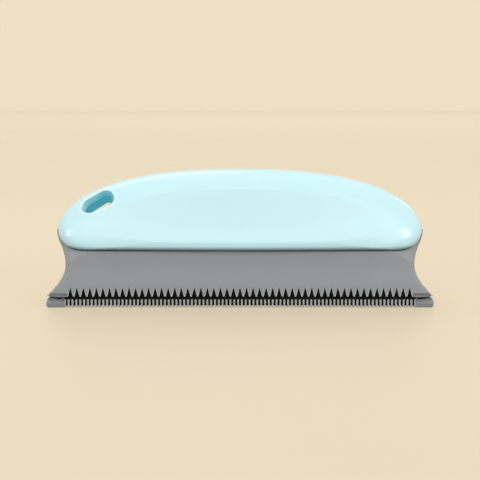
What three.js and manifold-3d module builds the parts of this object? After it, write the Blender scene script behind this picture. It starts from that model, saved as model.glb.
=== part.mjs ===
// Hand-held pet hair and lint remover: a hollow two-shell handle with a hang slot, screwed round a stiff core
// that carries a rubber blade with a coarse and a fine row of teeth along each side.
// Millimetres, +Z up, X along the blade, -Y the front. The blade stands on z = 0, centred on the origin.
import * as THREE from "three";
import { mergeVertices } from "three/addons/utils/BufferGeometryUtils.js";
import Module from "manifold-3d";

const wasm = await Module();
wasm.setup();

// Fits
const FIT_GAP = 0.3; // between neighbouring pieces
const SEAM_GAP = 0.3; // between the two handle shells
const OVERCUT = 5; // how far a cutter runs past what it cuts

// Handle
const HANDLE_LENGTH = 173;
const HANDLE_DEPTH = 36;
const HANDLE_HEIGHT = 37;
const HANDLE_DROP = 9.3; // from the level of the handle's ends down to its bottom
const HANDLE_BOTTOM_Z = 27; // above the surface that the blade stands on
const HANDLE_CORNER = 11; // length of the rounded lower corners
const ARCH_POWER_X = 2.5; // how square the arch is towards its ends
const ARCH_POWER_Z = 1.85; // and towards its crown
const CROWN_POWER = 2.4; // roundness of the shell over its edge, along the arch
const BASE_POWER = 8; // and along the bottom, where it turns under sharply
const EDGE_BIAS = 2.6; // how closely the sharp turn keeps to the bottom
const EDGE_BLEND = 15; // height over which the one passes into the other
const HANDLE_WALL = 2.4;
const DISH_DEPTH = 1.8; // hollow for the fingers on each face
const DISH_INSET = 24.5; // from the handle's ends
const DISH_RISE = 4.4; // of its deepest level above the handle's ends
const DISH_UPPER = 15.4; // height of the hollow above that level
const DISH_LOWER = 8.7; // and below it
const DISH_HEAD = 2.5; // squareness of its upper half
const DISH_FOOT = 2.6; // and of its lower half
const DISH_POWER = 3; // how it steepens towards its rim
const DISH_SOFTNESS = 0.1; // of its rim, as a share of its depth
const REGISTER_THICKNESS = 1; // lip on the front shell that locates the rear one
const REGISTER_REACH = 1.5;

// Hang slot, cut square to the sloping shoulder
const SLOT_LENGTH = 16.5;
const SLOT_WIDTH = 8.2;
const SLOT_INSET = 19.9; // of its middle from the handle's end
const SLOT_RISE = 9.1; // of its middle above the handle's ends, half way through
const SLOT_TILT = 27; // degrees, along the arch
const SLOT_FALL = 22; // degrees down towards the back
const SLOT_WALL = 1.8;

// Stiff core
const CORE_THICKNESS = 4;
const TONGUE_INSET = 30.5; // of its tongue from the handle's ends
const TONGUE_RISE = 13.7; // above the handle's ends
const TONGUE_CORNER = 8;
const CORE_COVER = 4; // rubber under the core
const FOOT_DEPTH = 9;
const FOOT_HEIGHT = 3;
const WEB_INSET = 6.7; // of the stretch inside the rubber, from the blade's waist
const KEY_COUNT = 7; // windows that the rubber flows through
const KEY_LENGTH = 10;
const KEY_HEIGHT = 4;

// Screws and their bosses
const SCREW_COUNT = 4;
const SCREW_PITCH = 30;
const SCREW_RISE = 4.7; // above the handle's ends
const SCREW_RADIUS = 1.5;
const SCREW_LENGTH = 18;
const HEAD_RADIUS = 2.8;
const HEAD_HEIGHT = 2;
const BOSS_LENGTH = 6.7; // of the rear shell's bosses, from the core to the screw heads
const RECESS_WIDTH = 0.9;
const RECESS_LENGTH = 3.4;
const RECESS_DEPTH = 1.2;
const BOSS_RADIUS = 4.4;
const THREAD_GAP = 0.2;

// Ribs of the shells, between the screws
const RIB_THICKNESS = 1.6;

// Rubber blade: lengths along X, depths along Y, levels along Z
const LOWER_LIP_REACH = 4.7; // past the handle's ends
const LOWER_LIP_DEPTH = 30;
const LOWER_LIP_FACE = 3.8; // height of its upright edge
const LOWER_LIP_CHAMFER = 1.8; // how far its plain ends are sloped down
const LOWER_LIP_CHAMFER_DEPTH = 4;
const GROOVE_MOUTH = 1.1; // opening between the two lips
const GROOVE_DEPTH = 7; // of the groove between them, along Y
const GROOVE_END_DEPTH = 6.5; // and along X at the ends
const GROOVE_DROP = 1.2; // how far the groove falls towards its root
const GROOVE_ROOT_HEIGHT = 0.8;
const UPPER_LIP_REACH = 4.5; // past the handle's ends
const UPPER_LIP_DEPTH = 28;
const UPPER_LIP_BEVEL = 2.1; // height of the bevel on its plain ends
const UPPER_LIP_BEVEL_DEPTH = 2;
const LIP_CORNER = 1.2;
const WAIST_INSET = 4.35; // of the waist's ends, inside the handle's
const WAIST_DEPTH = 27;
const WAIST_DROP = 7.5; // below the handle
const WAIST_HOLD = 0.6; // how far past the handle's bottom the waist's line is held
const FLARE_POWER = 1.8; // how the ends draw in from the lip to the waist
const SADDLE_SWELL = 0.3; // how far each face stands out again where the blade meets the handle
const HORN_PROUD = 1.1; // how far the end horns stand out past the handle
const HORN_DROP = 1.1; // of their tops below the handle's ends
const HORN_DEPTH = 9;
const HORN_NOSE = 38; // length of the horn's tapering end
const NOSE_DROP = 7; // below the handle, where the blade's ends start to taper
const BLADE_CORNER = 3;
const CHANNEL_WIDTH = 11; // hollow between the front and rear lower lips
const CHANNEL_TOP_WIDTH = 8;
const CHANNEL_HEIGHT = 8;

// Teeth, cut as notches in both faces of the blade
const COARSE_PLAIN_END = 9.6; // stretch without teeth at each end of the upper lip
const COARSE_PITCH = 3.07;
const COARSE_HEIGHT = 4.1;
const COARSE_TIP = 0.3; // width left at each tip
const COARSE_FALL = 4; // degrees, the notch runs down towards its back
const COARSE_DEPTH = 5.8; // how far back the notch reaches
const COARSE_RELIEF = 0.1; // the coarse notches stop this far above the lower lip
const FINE_PLAIN_END = 8.6; // and of the lower lip
const FINE_PITCH = 1.81;
const FINE_HEIGHT = 3.95; // just through the lower lip's top
const FINE_GAP = 1.15; // notch width at the floor
const FINE_GAP_TOP = 0.95;
const FINE_DEPTH = 4.6;

// Levels and lengths that follow from these
const HANDLE_WIDEST_Z = HANDLE_BOTTOM_Z + HANDLE_DROP; // level of the handle's ends
const HANDLE_TOP_Z = HANDLE_BOTTOM_Z + HANDLE_HEIGHT;
const DISH_LENGTH = HANDLE_LENGTH - 2 * DISH_INSET;
const DISH_Z = HANDLE_WIDEST_Z + DISH_RISE;
const SLOT_X = SLOT_INSET - HANDLE_LENGTH / 2;
const SLOT_Z = HANDLE_WIDEST_Z + SLOT_RISE;
const TONGUE_LENGTH = HANDLE_LENGTH - 2 * TONGUE_INSET;
const TONGUE_TOP_Z = HANDLE_WIDEST_Z + TONGUE_RISE;
const SCREW_Z = HANDLE_WIDEST_Z + SCREW_RISE;
const CLAMP_Y = CORE_THICKNESS / 2 + FIT_GAP; // where the bosses and ribs stop, beside the core
const HEAD_SEAT_Y = CLAMP_Y + BOSS_LENGTH; // where a screw's head bears on the rear shell's boss
const LOWER_LIP_LENGTH = HANDLE_LENGTH + 2 * LOWER_LIP_REACH;
const UPPER_LIP_LENGTH = HANDLE_LENGTH + 2 * UPPER_LIP_REACH;
const UPPER_LIP_Z = LOWER_LIP_FACE + GROOVE_MOUTH;
const WAIST_LENGTH = HANDLE_LENGTH - 2 * WAIST_INSET;
const WAIST_Z = HANDLE_BOTTOM_Z - WAIST_DROP;
const SADDLE_DEPTH = WAIST_DEPTH + 2 * SADDLE_SWELL;
const SADDLE_Z = HANDLE_BOTTOM_Z - FIT_GAP;
const HORN_TOP_Z = HANDLE_WIDEST_Z - HORN_DROP;
const NOSE_Z = HANDLE_BOTTOM_Z - NOSE_DROP;
const WEB_LENGTH = WAIST_LENGTH - 2 * WEB_INSET;
const CORE_FOOT_Z = CHANNEL_HEIGHT + CORE_COVER;
const CORE_SHOULDER_Z = HANDLE_BOTTOM_Z - HANDLE_WALL - FIT_GAP; // top of the web beside the tongue
const KEY_Z = (CORE_FOOT_Z + FOOT_HEIGHT + CORE_SHOULDER_Z) / 2;
const COARSE_COUNT = Math.floor((UPPER_LIP_LENGTH - 2 * COARSE_PLAIN_END) / COARSE_PITCH);
const FINE_COUNT = Math.floor((LOWER_LIP_LENGTH - 2 * FINE_PLAIN_END) / FINE_PITCH);

// How finely the round surfaces are cut into facets
const ARCH_STEPS = 24;
const CORNER_STEPS = 4;
const BASE_STEPS = 4;
const DOME_RINGS = 8;
const BLADE_CORNER_STEPS = 4;
const FLARE_STEPS = 6;
const ROUND_STEPS = 12;

const FRONT = -1;
const REAR = 1;

// Turns a closed geometry into a solid that can be joined and cut.
function solidFrom(geometry) {
  const bare = geometry.index ? geometry.toNonIndexed() : geometry.clone();
  for (const name of Object.keys(bare.attributes)) {
    if (name !== "position") bare.deleteAttribute(name);
  }
  const merged = mergeVertices(bare, 1e-4);
  const mesh = new wasm.Mesh({
    numProp: 3,
    vertProperties: merged.attributes.position.array,
    triVerts: new Uint32Array(merged.index.array),
  });
  return new wasm.Manifold(mesh);
}

// Turns a solid back into a geometry with flat-shaded faces.
function geometryFrom(solid) {
  const mesh = solid.getMesh();
  const geometry = new THREE.BufferGeometry();
  geometry.setAttribute("position", new THREE.BufferAttribute(mesh.vertProperties, 3));
  geometry.setIndex(new THREE.BufferAttribute(mesh.triVerts, 1));
  geometry.computeVertexNormals();
  return geometry;
}

// A named piece with its own finish.
function piece(name, solid, color, roughness, metalness = 0) {
  const material = new THREE.MeshStandardMaterial({ color, roughness, metalness });
  const mesh = new THREE.Mesh(geometryFrom(solid), material);
  mesh.name = name;
  return mesh;
}

// A closed skin through rings of equal length, with a flat or pointed cap at each end.
function skin(rings) {
  const count = rings[0].length;
  const positions = rings.flat().flatMap((point) => [point.x, point.y, point.z]);
  const indices = [];
  for (let ring = 0; ring + 1 < rings.length; ring++) {
    for (let step = 0; step < count; step++) {
      const next = (step + 1) % count;
      const low = ring * count;
      const high = low + count;
      indices.push(low + step, low + next, high + next, low + step, high + next, high + step);
    }
  }
  capRing(rings[0], 0, positions, indices, true);
  capRing(rings[rings.length - 1], (rings.length - 1) * count, positions, indices, false);
  const geometry = new THREE.BufferGeometry();
  geometry.setAttribute("position", new THREE.Float32BufferAttribute(positions, 3));
  geometry.setIndex(indices);
  return geometry;
}

// Fans a ring's cap from the ring's middle.
function capRing(ring, first, positions, indices, reversed) {
  const middle = new THREE.Vector3();
  for (const point of ring) middle.addScaledVector(point, 1 / ring.length);
  const centre = positions.length / 3;
  positions.push(middle.x, middle.y, middle.z);
  for (let step = 0; step < ring.length; step++) {
    const next = (step + 1) % ring.length;
    if (reversed) indices.push(centre, first + next, first + step);
    else indices.push(centre, first + step, first + next);
  }
}

// A block between two corners.
function block(low, high) {
  const size = new THREE.Vector3().subVectors(high, low);
  const geometry = new THREE.BoxGeometry(size.x, size.y, size.z);
  geometry.translate(low.x + size.x / 2, low.y + size.y / 2, low.z + size.z / 2);
  return solidFrom(geometry);
}

// A round bar along Y at (x, z), from one y to another.
function bar(radius, x, z, fromY, toY) {
  const geometry = new THREE.CylinderGeometry(radius, radius, toY - fromY, ROUND_STEPS);
  geometry.translate(x, (fromY + toY) / 2, z);
  return solidFrom(geometry);
}

// A flat outline in X and Z, given a thickness along Y.
function plate(shape, fromY, toY) {
  const geometry = new THREE.ExtrudeGeometry(shape, {
    depth: toY - fromY,
    bevelEnabled: false,
    curveSegments: ROUND_STEPS / 2,
  });
  geometry.rotateX(Math.PI / 2); // the outline's second axis becomes Z, its thickness runs along -Y
  geometry.translate(0, toY, 0);
  return solidFrom(geometry);
}

// The roundness of the shell over its edge, in the direction of (x, z) from the middle of its face.
function edgePower(x, z) {
  const up = (z - HANDLE_WIDEST_Z) / EDGE_BLEND;
  const along = (2 * x) / HANDLE_LENGTH;
  const down = (1 - up / Math.hypot(up, along)) / 2;
  return THREE.MathUtils.lerp(CROWN_POWER, BASE_POWER, down ** EDGE_BIAS);
}

// The handle's front outline as points {x, z, power}, set in from its edge. power is the edge's roundness there.
function handleOutline(inset) {
  const half = HANDLE_LENGTH / 2 - inset;
  const rise = HANDLE_TOP_Z - HANDLE_WIDEST_Z - inset;
  const drop = HANDLE_WIDEST_Z - HANDLE_BOTTOM_Z - inset;
  const corner = HANDLE_CORNER - inset;
  const flat = half - corner;
  const points = [];
  for (let step = 0; step < ARCH_STEPS; step++) {
    const angle = (Math.PI * step) / ARCH_STEPS;
    const across = Math.cos(angle);
    const x = half * Math.sign(across) * Math.abs(across) ** (2 / ARCH_POWER_X);
    const z = HANDLE_WIDEST_Z + rise * Math.sin(angle) ** (2 / ARCH_POWER_Z);
    points.push({ x, z });
  }
  for (const side of [-1, 1]) {
    const first = side < 0 ? 0 : 1;
    for (let step = first; step < CORNER_STEPS + first; step++) {
      const turn = (Math.PI / 2) * (side < 0 ? step / CORNER_STEPS : 1 - step / CORNER_STEPS);
      const x = side * (flat + corner * Math.cos(turn));
      const z = HANDLE_WIDEST_Z - drop * Math.sin(turn);
      const skipEnd = side > 0 && step === CORNER_STEPS;
      if (!skipEnd) points.push({ x, z });
    }
    if (side < 0) {
      for (let step = 0; step <= BASE_STEPS; step++) {
        const x = THREE.MathUtils.lerp(-flat, flat, step / BASE_STEPS);
        points.push({ x, z: HANDLE_WIDEST_Z - drop });
      }
    }
  }
  return points.map(({ x, z }) => ({ x, z, power: edgePower(x, z) }));
}

// How far the finger hollow lowers the handle's face at (x, z): an oval bowl with a soft rim.
function dish(x, z) {
  const above = z > DISH_Z;
  const along = Math.abs((2 * x) / DISH_LENGTH);
  const across = Math.abs(z - DISH_Z) / (above ? DISH_UPPER : DISH_LOWER);
  const square = above ? DISH_HEAD : DISH_FOOT;
  const within = 1 - (along ** square + across ** square) ** (DISH_POWER / square);
  return (DISH_DEPTH * (within + Math.hypot(within, DISH_SOFTNESS))) / 2;
}

// Rings of one half of the handle, from the middle of its face out to its edge at the seam.
function domeRings(side, inset, seam) {
  const depth = HANDLE_DEPTH / 2 - inset - seam;
  const outline = handleOutline(inset);
  const rings = [];
  for (let ring = 1; ring <= DOME_RINGS; ring++) {
    const reach = Math.sin(((Math.PI / 2) * ring) / DOME_RINGS);
    rings.push(
      outline.map(({ x, z, power }) => {
        const atX = x * reach;
        const atZ = HANDLE_WIDEST_Z + (z - HANDLE_WIDEST_Z) * reach;
        const swell = Math.max(0, 1 - reach ** power) ** (1 / power);
        const lowered = dish(atX, atZ) * Math.sqrt(swell);
        return new THREE.Vector3(atX, side * (seam + depth * swell - lowered), atZ);
      }),
    );
  }
  return rings;
}

// One half of the handle as a solid lump, flat at the seam.
function handleHalf(side, inset, seam = SEAM_GAP / 2) {
  const rings = domeRings(side, inset, seam);
  if (side === FRONT) rings.reverse();
  return solidFrom(skin(rings));
}

// The whole handle as a lump, grown by a clearance.
function handleLump(clearance) {
  return handleHalf(FRONT, -clearance, 0).add(handleHalf(REAR, -clearance, 0));
}

// The slot's rounded outline, in X and Z, with a wall round it.
function slotOutline(wall) {
  const radius = SLOT_WIDTH / 2 + wall;
  const straight = (SLOT_LENGTH - SLOT_WIDTH) / 2;
  const shape = new THREE.Shape();
  shape.absarc(straight, 0, radius, -Math.PI / 2, Math.PI / 2);
  shape.absarc(-straight, 0, radius, Math.PI / 2, (3 * Math.PI) / 2);
  return shape;
}

// The hang slot as a bar through the handle, leaning down towards the back.
function slotBar(wall) {
  const reach = HANDLE_DEPTH / 2 + OVERCUT;
  const geometry = new THREE.ExtrudeGeometry(slotOutline(wall), {
    depth: 2 * reach,
    bevelEnabled: false,
    curveSegments: ROUND_STEPS / 2,
  });
  geometry.translate(0, 0, -reach);
  geometry.rotateZ(THREE.MathUtils.degToRad(SLOT_TILT));
  geometry.rotateX(Math.PI / 2);
  const fall = Math.tan(THREE.MathUtils.degToRad(SLOT_FALL));
  geometry.applyMatrix4(new THREE.Matrix4().makeShear(0, 0, 0, -fall, 0, 0));
  geometry.translate(SLOT_X, 0, SLOT_Z);
  return solidFrom(geometry);
}

// Places spread evenly about the middle.
function spread(count, pitch) {
  return Array.from({ length: count }, (_, index) => (index - (count - 1) / 2) * pitch);
}

const SCREW_PLACES = spread(SCREW_COUNT, SCREW_PITCH);
const RIB_PLACES = spread(SCREW_COUNT - 1, SCREW_PITCH);

// Ribs and bosses that stand inside one shell and clamp the core.
function shellInnards(side) {
  const outer = HANDLE_DEPTH / 2 + OVERCUT;
  const near = Math.min(side * CLAMP_Y, side * outer);
  const far = Math.max(side * CLAMP_Y, side * outer);
  const bosses = SCREW_PLACES.map((x) => bar(BOSS_RADIUS, x, SCREW_Z, near, far));
  const ribs = RIB_PLACES.map((x) =>
    block(
      new THREE.Vector3(x - RIB_THICKNESS / 2, near, HANDLE_BOTTOM_Z),
      new THREE.Vector3(x + RIB_THICKNESS / 2, far, HANDLE_TOP_Z),
    ),
  );
  return [...bosses, ...ribs].reduce((joined, next) => joined.add(next));
}

// Opening in the handle's underside that the core's tongue enters by.
function tongueOpening() {
  const half = TONGUE_LENGTH / 2 + FIT_GAP;
  return block(
    new THREE.Vector3(-half, -CLAMP_Y, HANDLE_BOTTOM_Z - OVERCUT),
    new THREE.Vector3(half, CLAMP_Y, HANDLE_BOTTOM_Z + HANDLE_WALL + OVERCUT),
  );
}

// A band inside the seam, between two insets of the handle's outline.
function seamBand(outerInset, innerInset, fromY, toY) {
  const shapeAt = (inset) =>
    new THREE.Shape(handleOutline(inset).map(({ x, z }) => new THREE.Vector2(x, z)));
  return plate(shapeAt(outerInset), fromY, toY).subtract(
    plate(shapeAt(innerInset), fromY - OVERCUT, toY + OVERCUT),
  );
}

// A handle shell before its seam is fitted: wall, slot sleeve, ribs and bosses, with the openings cut.
function plainShell(side) {
  const lump = handleHalf(side, 0);
  const cavity = handleHalf(side, HANDLE_WALL);
  return lump
    .subtract(cavity)
    .add(slotBar(SLOT_WALL).intersect(lump))
    .add(shellInnards(side).intersect(lump))
    .subtract(slotBar(0))
    .subtract(tongueOpening());
}

function frontShell() {
  const inner = HANDLE_WALL;
  const lip = seamBand(inner - REGISTER_THICKNESS, inner, -HANDLE_WALL, REGISTER_REACH)
    .subtract(tongueOpening())
    .subtract(slotBar(SLOT_WALL + FIT_GAP));
  const pilots = SCREW_PLACES.map((x) => {
    const tip = HEAD_SEAT_Y - SCREW_LENGTH - FIT_GAP;
    return bar(SCREW_RADIUS + THREAD_GAP, x, SCREW_Z, tip, OVERCUT);
  });
  return pilots.reduce((shell, pilot) => shell.subtract(pilot), plainShell(FRONT).add(lip));
}

function rearShell() {
  const rebate = seamBand(
    HANDLE_WALL - REGISTER_THICKNESS - FIT_GAP,
    HANDLE_WALL + OVERCUT / 2,
    -OVERCUT,
    REGISTER_REACH + FIT_GAP,
  ).subtract(slotBar(SLOT_WALL));
  const outer = HANDLE_DEPTH / 2 + OVERCUT;
  const holes = SCREW_PLACES.map((x) =>
    bar(SCREW_RADIUS + THREAD_GAP, x, SCREW_Z, -OVERCUT, outer).add(
      bar(HEAD_RADIUS + FIT_GAP, x, SCREW_Z, HEAD_SEAT_Y, outer),
    ),
  );
  return holes.reduce((shell, hole) => shell.subtract(hole), plainShell(REAR).subtract(rebate));
}

// The core's outline: a tongue up into the handle and a longer web down into the rubber.
function coreOutline(grow) {
  const tongue = TONGUE_LENGTH / 2 + grow;
  const web = WEB_LENGTH / 2 + grow;
  const top = TONGUE_TOP_Z + grow;
  const shoulder = CORE_SHOULDER_Z + grow;
  const foot = CORE_FOOT_Z - grow;
  const shape = new THREE.Shape();
  shape.moveTo(-web, foot);
  shape.lineTo(web, foot);
  shape.lineTo(web, shoulder);
  shape.lineTo(tongue, shoulder);
  shape.lineTo(tongue, top - TONGUE_CORNER);
  shape.absarc(tongue - TONGUE_CORNER, top - TONGUE_CORNER, TONGUE_CORNER, 0, Math.PI / 2);
  shape.absarc(-tongue + TONGUE_CORNER, top - TONGUE_CORNER, TONGUE_CORNER, Math.PI / 2, Math.PI);
  shape.lineTo(-tongue, shoulder);
  shape.lineTo(-web, shoulder);
  return shape;
}

// The stiff core, grown by a clearance where the rubber is cut to fit round it.
function coreSolid(grow) {
  const half = CORE_THICKNESS / 2 + grow;
  const foot = block(
    new THREE.Vector3(-WEB_LENGTH / 2 - grow, -FOOT_DEPTH / 2 - grow, CORE_FOOT_Z - grow),
    new THREE.Vector3(WEB_LENGTH / 2 + grow, FOOT_DEPTH / 2 + grow, CORE_FOOT_Z + FOOT_HEIGHT + grow),
  );
  const keys = spread(KEY_COUNT, WEB_LENGTH / KEY_COUNT).map((x) =>
    block(
      new THREE.Vector3(x - KEY_LENGTH / 2 + grow, -half - OVERCUT, KEY_Z - KEY_HEIGHT / 2 + grow),
      new THREE.Vector3(x + KEY_LENGTH / 2 - grow, half + OVERCUT, KEY_Z + KEY_HEIGHT / 2 - grow),
    ),
  );
  const holes = SCREW_PLACES.map((x) =>
    bar(SCREW_RADIUS + FIT_GAP, x, SCREW_Z, -half - OVERCUT, half + OVERCUT),
  );
  const whole = plate(coreOutline(grow), -half, half).add(foot);
  return [...keys, ...holes].reduce((core, hole) => core.subtract(hole), whole);
}

// One level of the blade: a rectangle in plan with elliptical corners.
function bladeRing({ z, half, depth, cornerX = LIP_CORNER, cornerY = LIP_CORNER }) {
  const ring = [];
  for (let quarter = 0; quarter < 4; quarter++) {
    const sideX = quarter === 0 || quarter === 3 ? 1 : -1;
    const sideY = quarter < 2 ? 1 : -1;
    for (let step = 0; step <= BLADE_CORNER_STEPS; step++) {
      const angle = (Math.PI / 2) * (quarter + step / BLADE_CORNER_STEPS);
      const x = sideX * (half - cornerX) + cornerX * Math.cos(angle);
      const y = sideY * (depth - cornerY) + cornerY * Math.sin(angle);
      ring.push(new THREE.Vector3(x, y, z));
    }
  }
  return ring;
}

// Levels of the lower lip and of the groove above it.
function lipLevels() {
  const half = LOWER_LIP_LENGTH / 2;
  const depth = LOWER_LIP_DEPTH / 2;
  const root = { half: half - GROOVE_END_DEPTH, depth: depth - GROOVE_DEPTH };
  return [
    { z: 0, half, depth },
    { z: LOWER_LIP_FACE, half, depth },
    { z: LOWER_LIP_FACE - GROOVE_DROP, ...root },
    { z: LOWER_LIP_FACE - GROOVE_DROP + GROOVE_ROOT_HEIGHT, ...root },
  ];
}

// Levels from the upper lip's edge through the waist to the top of the end horns.
function flareLevels() {
  const lip = UPPER_LIP_LENGTH / 2;
  const waist = WAIST_LENGTH / 2;
  const horn = HANDLE_LENGTH / 2 + HORN_PROUD;
  const { smoothstep, lerp } = THREE.MathUtils;
  const v = (x, y) => new THREE.Vector2(x, y);
  const endFlare = [];
  for (let step = 0; step <= FLARE_STEPS; step++) {
    const share = step / FLARE_STEPS;
    endFlare.push(v(lerp(waist, lip, (1 - share) ** FLARE_POWER), lerp(UPPER_LIP_Z, WAIST_Z, share)));
  }
  const endRise = new THREE.CubicBezierCurve(
    v(waist, WAIST_Z),
    v(waist, SADDLE_Z + WAIST_HOLD),
    v(horn, SADDLE_Z),
    v(horn, HORN_TOP_Z),
  );
  const depthAt = (z) => {
    const lipToWaist = lerp(UPPER_LIP_DEPTH, WAIST_DEPTH, smoothstep(z, UPPER_LIP_Z, WAIST_Z));
    const waistToSaddle = lerp(lipToWaist, SADDLE_DEPTH, smoothstep(z, WAIST_Z, SADDLE_Z));
    return lerp(waistToSaddle, HORN_DEPTH, smoothstep(z, SADDLE_Z, HORN_TOP_Z)) / 2;
  };
  const outline = [...endFlare, ...endRise.getPoints(FLARE_STEPS + 4).slice(1)];
  return outline.map(({ x: half, y: z }) => {
    const corner = lerp(LIP_CORNER, BLADE_CORNER, smoothstep(z, UPPER_LIP_Z, WAIST_Z));
    const nose = smoothstep(z, NOSE_Z, HORN_TOP_Z);
    const depth = depthAt(z);
    return {
      z,
      half,
      depth,
      cornerX: lerp(corner, HORN_NOSE, nose),
      cornerY: Math.min(depth, lerp(corner, SADDLE_DEPTH / 2, nose * 2)),
    };
  });
}

// A prism whose section lies in X and Z, running back from the front face and falling as it goes.
function notch(corners, fromY, toY, fallDegrees) {
  const shape = new THREE.Shape(corners.map(([x, z]) => new THREE.Vector2(x, z)));
  const geometry = new THREE.ExtrudeGeometry(shape, { depth: toY - fromY, bevelEnabled: false });
  geometry.rotateX(Math.PI / 2);
  geometry.translate(0, toY - fromY, 0);
  const fall = Math.tan(THREE.MathUtils.degToRad(fallDegrees));
  geometry.applyMatrix4(new THREE.Matrix4().makeShear(0, 0, 0, -fall, 0, 0));
  geometry.translate(0, fromY, 0);
  return solidFrom(geometry);
}

// One notch of each row, for the front face, centred on x = 0.
function coarseNotch() {
  const face = -UPPER_LIP_DEPTH / 2;
  const lead = 1; // the prism starts this far in front of the face
  const rise = lead * Math.tan(THREE.MathUtils.degToRad(COARSE_FALL));
  const slope = (COARSE_PITCH - COARSE_TIP) / 2 / COARSE_HEIGHT;
  const below = COARSE_HEIGHT + GROOVE_MOUTH;
  const top = UPPER_LIP_Z + COARSE_HEIGHT + rise;
  const corners = [
    [-slope * below, top - below],
    [slope * below, top - below],
    [0, top],
  ];
  const back = face + COARSE_DEPTH;
  const aboveLowerLip = block(
    new THREE.Vector3(-COARSE_PITCH, face - OVERCUT, LOWER_LIP_FACE + COARSE_RELIEF),
    new THREE.Vector3(COARSE_PITCH, back + OVERCUT, top + OVERCUT),
  );
  return notch(corners, face - lead, back, COARSE_FALL).intersect(aboveLowerLip);
}

function fineNotch() {
  const face = -LOWER_LIP_DEPTH / 2;
  const corners = [
    [-FINE_GAP / 2, -1],
    [FINE_GAP / 2, -1],
    [FINE_GAP_TOP / 2, FINE_HEIGHT],
    [-FINE_GAP_TOP / 2, FINE_HEIGHT],
  ];
  return notch(corners, face - OVERCUT, face + FINE_DEPTH, 0);
}

// Copies of a front-face cutter along the blade, and their mirror images on the rear face.
function rowBothFaces(cutter, places) {
  const row = places.map((x) => cutter.translate([x, 0, 0]));
  const front = wasm.Manifold.union(row);
  return front.add(front.mirror([0, 1, 0]));
}

// A prism along X over the plain ends of a lip, outside its teeth, on both faces. Its section is for the rear face.
function plainEndCutter(section, teethLength) {
  const shape = new THREE.Shape(section.map(([y, z]) => new THREE.Vector2(y, z)));
  const geometry = new THREE.ExtrudeGeometry(shape, { depth: OVERCUT * 4, bevelEnabled: false });
  geometry.rotateX(Math.PI / 2);
  geometry.rotateZ(Math.PI / 2);
  const cutter = solidFrom(geometry).translate([teethLength / 2, 0, 0]);
  const rear = cutter.add(cutter.mirror([1, 0, 0]));
  return rear.add(rear.mirror([0, 1, 0]));
}

// Bevel under the upper lip's plain ends.
function upperBevels() {
  const face = UPPER_LIP_DEPTH / 2;
  const top = UPPER_LIP_Z + UPPER_LIP_BEVEL;
  const mouth = UPPER_LIP_Z - GROOVE_MOUTH / 2;
  const section = [
    [face + 1, top],
    [face, top],
    [face - UPPER_LIP_BEVEL_DEPTH, mouth],
    [face + 1, mouth],
  ];
  return plainEndCutter(section, COARSE_COUNT * COARSE_PITCH);
}

// Slope on top of the lower lip's plain ends.
function lowerChamfers() {
  const face = LOWER_LIP_DEPTH / 2;
  const fall = (GROOVE_DROP * LOWER_LIP_CHAMFER_DEPTH) / GROOVE_DEPTH;
  const back = face - LOWER_LIP_CHAMFER_DEPTH;
  const section = [
    [face + 1, LOWER_LIP_FACE + GROOVE_MOUTH / 2],
    [back, LOWER_LIP_FACE - fall + GROOVE_MOUTH / 2],
    [back, LOWER_LIP_FACE - fall],
    [face, LOWER_LIP_FACE - LOWER_LIP_CHAMFER],
    [face + 1, LOWER_LIP_FACE - LOWER_LIP_CHAMFER],
  ];
  return plainEndCutter(section, FINE_COUNT * FINE_PITCH);
}

// The hollow under the blade.
function channel() {
  const half = LOWER_LIP_LENGTH / 2 + OVERCUT;
  const foot = CHANNEL_WIDTH / 2;
  const top = CHANNEL_TOP_WIDTH / 2;
  const shape = new THREE.Shape([
    new THREE.Vector2(-foot, -1),
    new THREE.Vector2(foot, -1),
    new THREE.Vector2(top, CHANNEL_HEIGHT),
    new THREE.Vector2(-top, CHANNEL_HEIGHT),
  ]);
  const geometry = new THREE.ExtrudeGeometry(shape, { depth: 2 * half, bevelEnabled: false });
  geometry.rotateX(Math.PI / 2);
  geometry.rotateZ(Math.PI / 2);
  geometry.translate(-half, 0, 0);
  return solidFrom(geometry);
}

function rubberBlade() {
  const body = solidFrom(skin([...lipLevels(), ...flareLevels()].map(bladeRing)));
  return body
    .subtract(handleLump(FIT_GAP))
    .subtract(coreSolid(FIT_GAP))
    .subtract(channel())
    .subtract(upperBevels())
    .subtract(lowerChamfers())
    .subtract(rowBothFaces(coarseNotch(), spread(COARSE_COUNT, COARSE_PITCH)))
    .subtract(rowBothFaces(fineNotch(), spread(FINE_COUNT, FINE_PITCH)));
}

// A pan-head screw with a cross recess, pointing along -Y.
function screw(x) {
  const seat = HEAD_SEAT_Y + FIT_GAP / 3;
  const top = seat + HEAD_HEIGHT;
  const profile = [
    [0, seat - SCREW_LENGTH],
    [SCREW_RADIUS, seat - SCREW_LENGTH + 2 * SCREW_RADIUS],
    [SCREW_RADIUS, seat],
    [HEAD_RADIUS, seat],
    [HEAD_RADIUS, top - HEAD_HEIGHT / 2],
    [HEAD_RADIUS * 0.75, top],
    [0, top],
  ].map(([radius, along]) => new THREE.Vector2(radius, along));
  const body = solidFrom(new THREE.LatheGeometry(profile, ROUND_STEPS));
  const long = RECESS_LENGTH / 2;
  const wide = RECESS_WIDTH / 2;
  const floor = top - RECESS_DEPTH;
  const slots = [
    [long, wide],
    [wide, long],
  ].map(([sizeX, sizeZ]) =>
    block(new THREE.Vector3(-sizeX, floor, -sizeZ), new THREE.Vector3(sizeX, top + 1, sizeZ)),
  );
  return slots.reduce((made, slot) => made.subtract(slot), body).translate([x, 0, SCREW_Z]);
}

const HANDLE_COLOR = 0xc9eef4;
const RUBBER_COLOR = 0x8f9193;
const CORE_COLOR = 0x3c4146;
const STEEL_COLOR = 0xb9bcc0;

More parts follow.
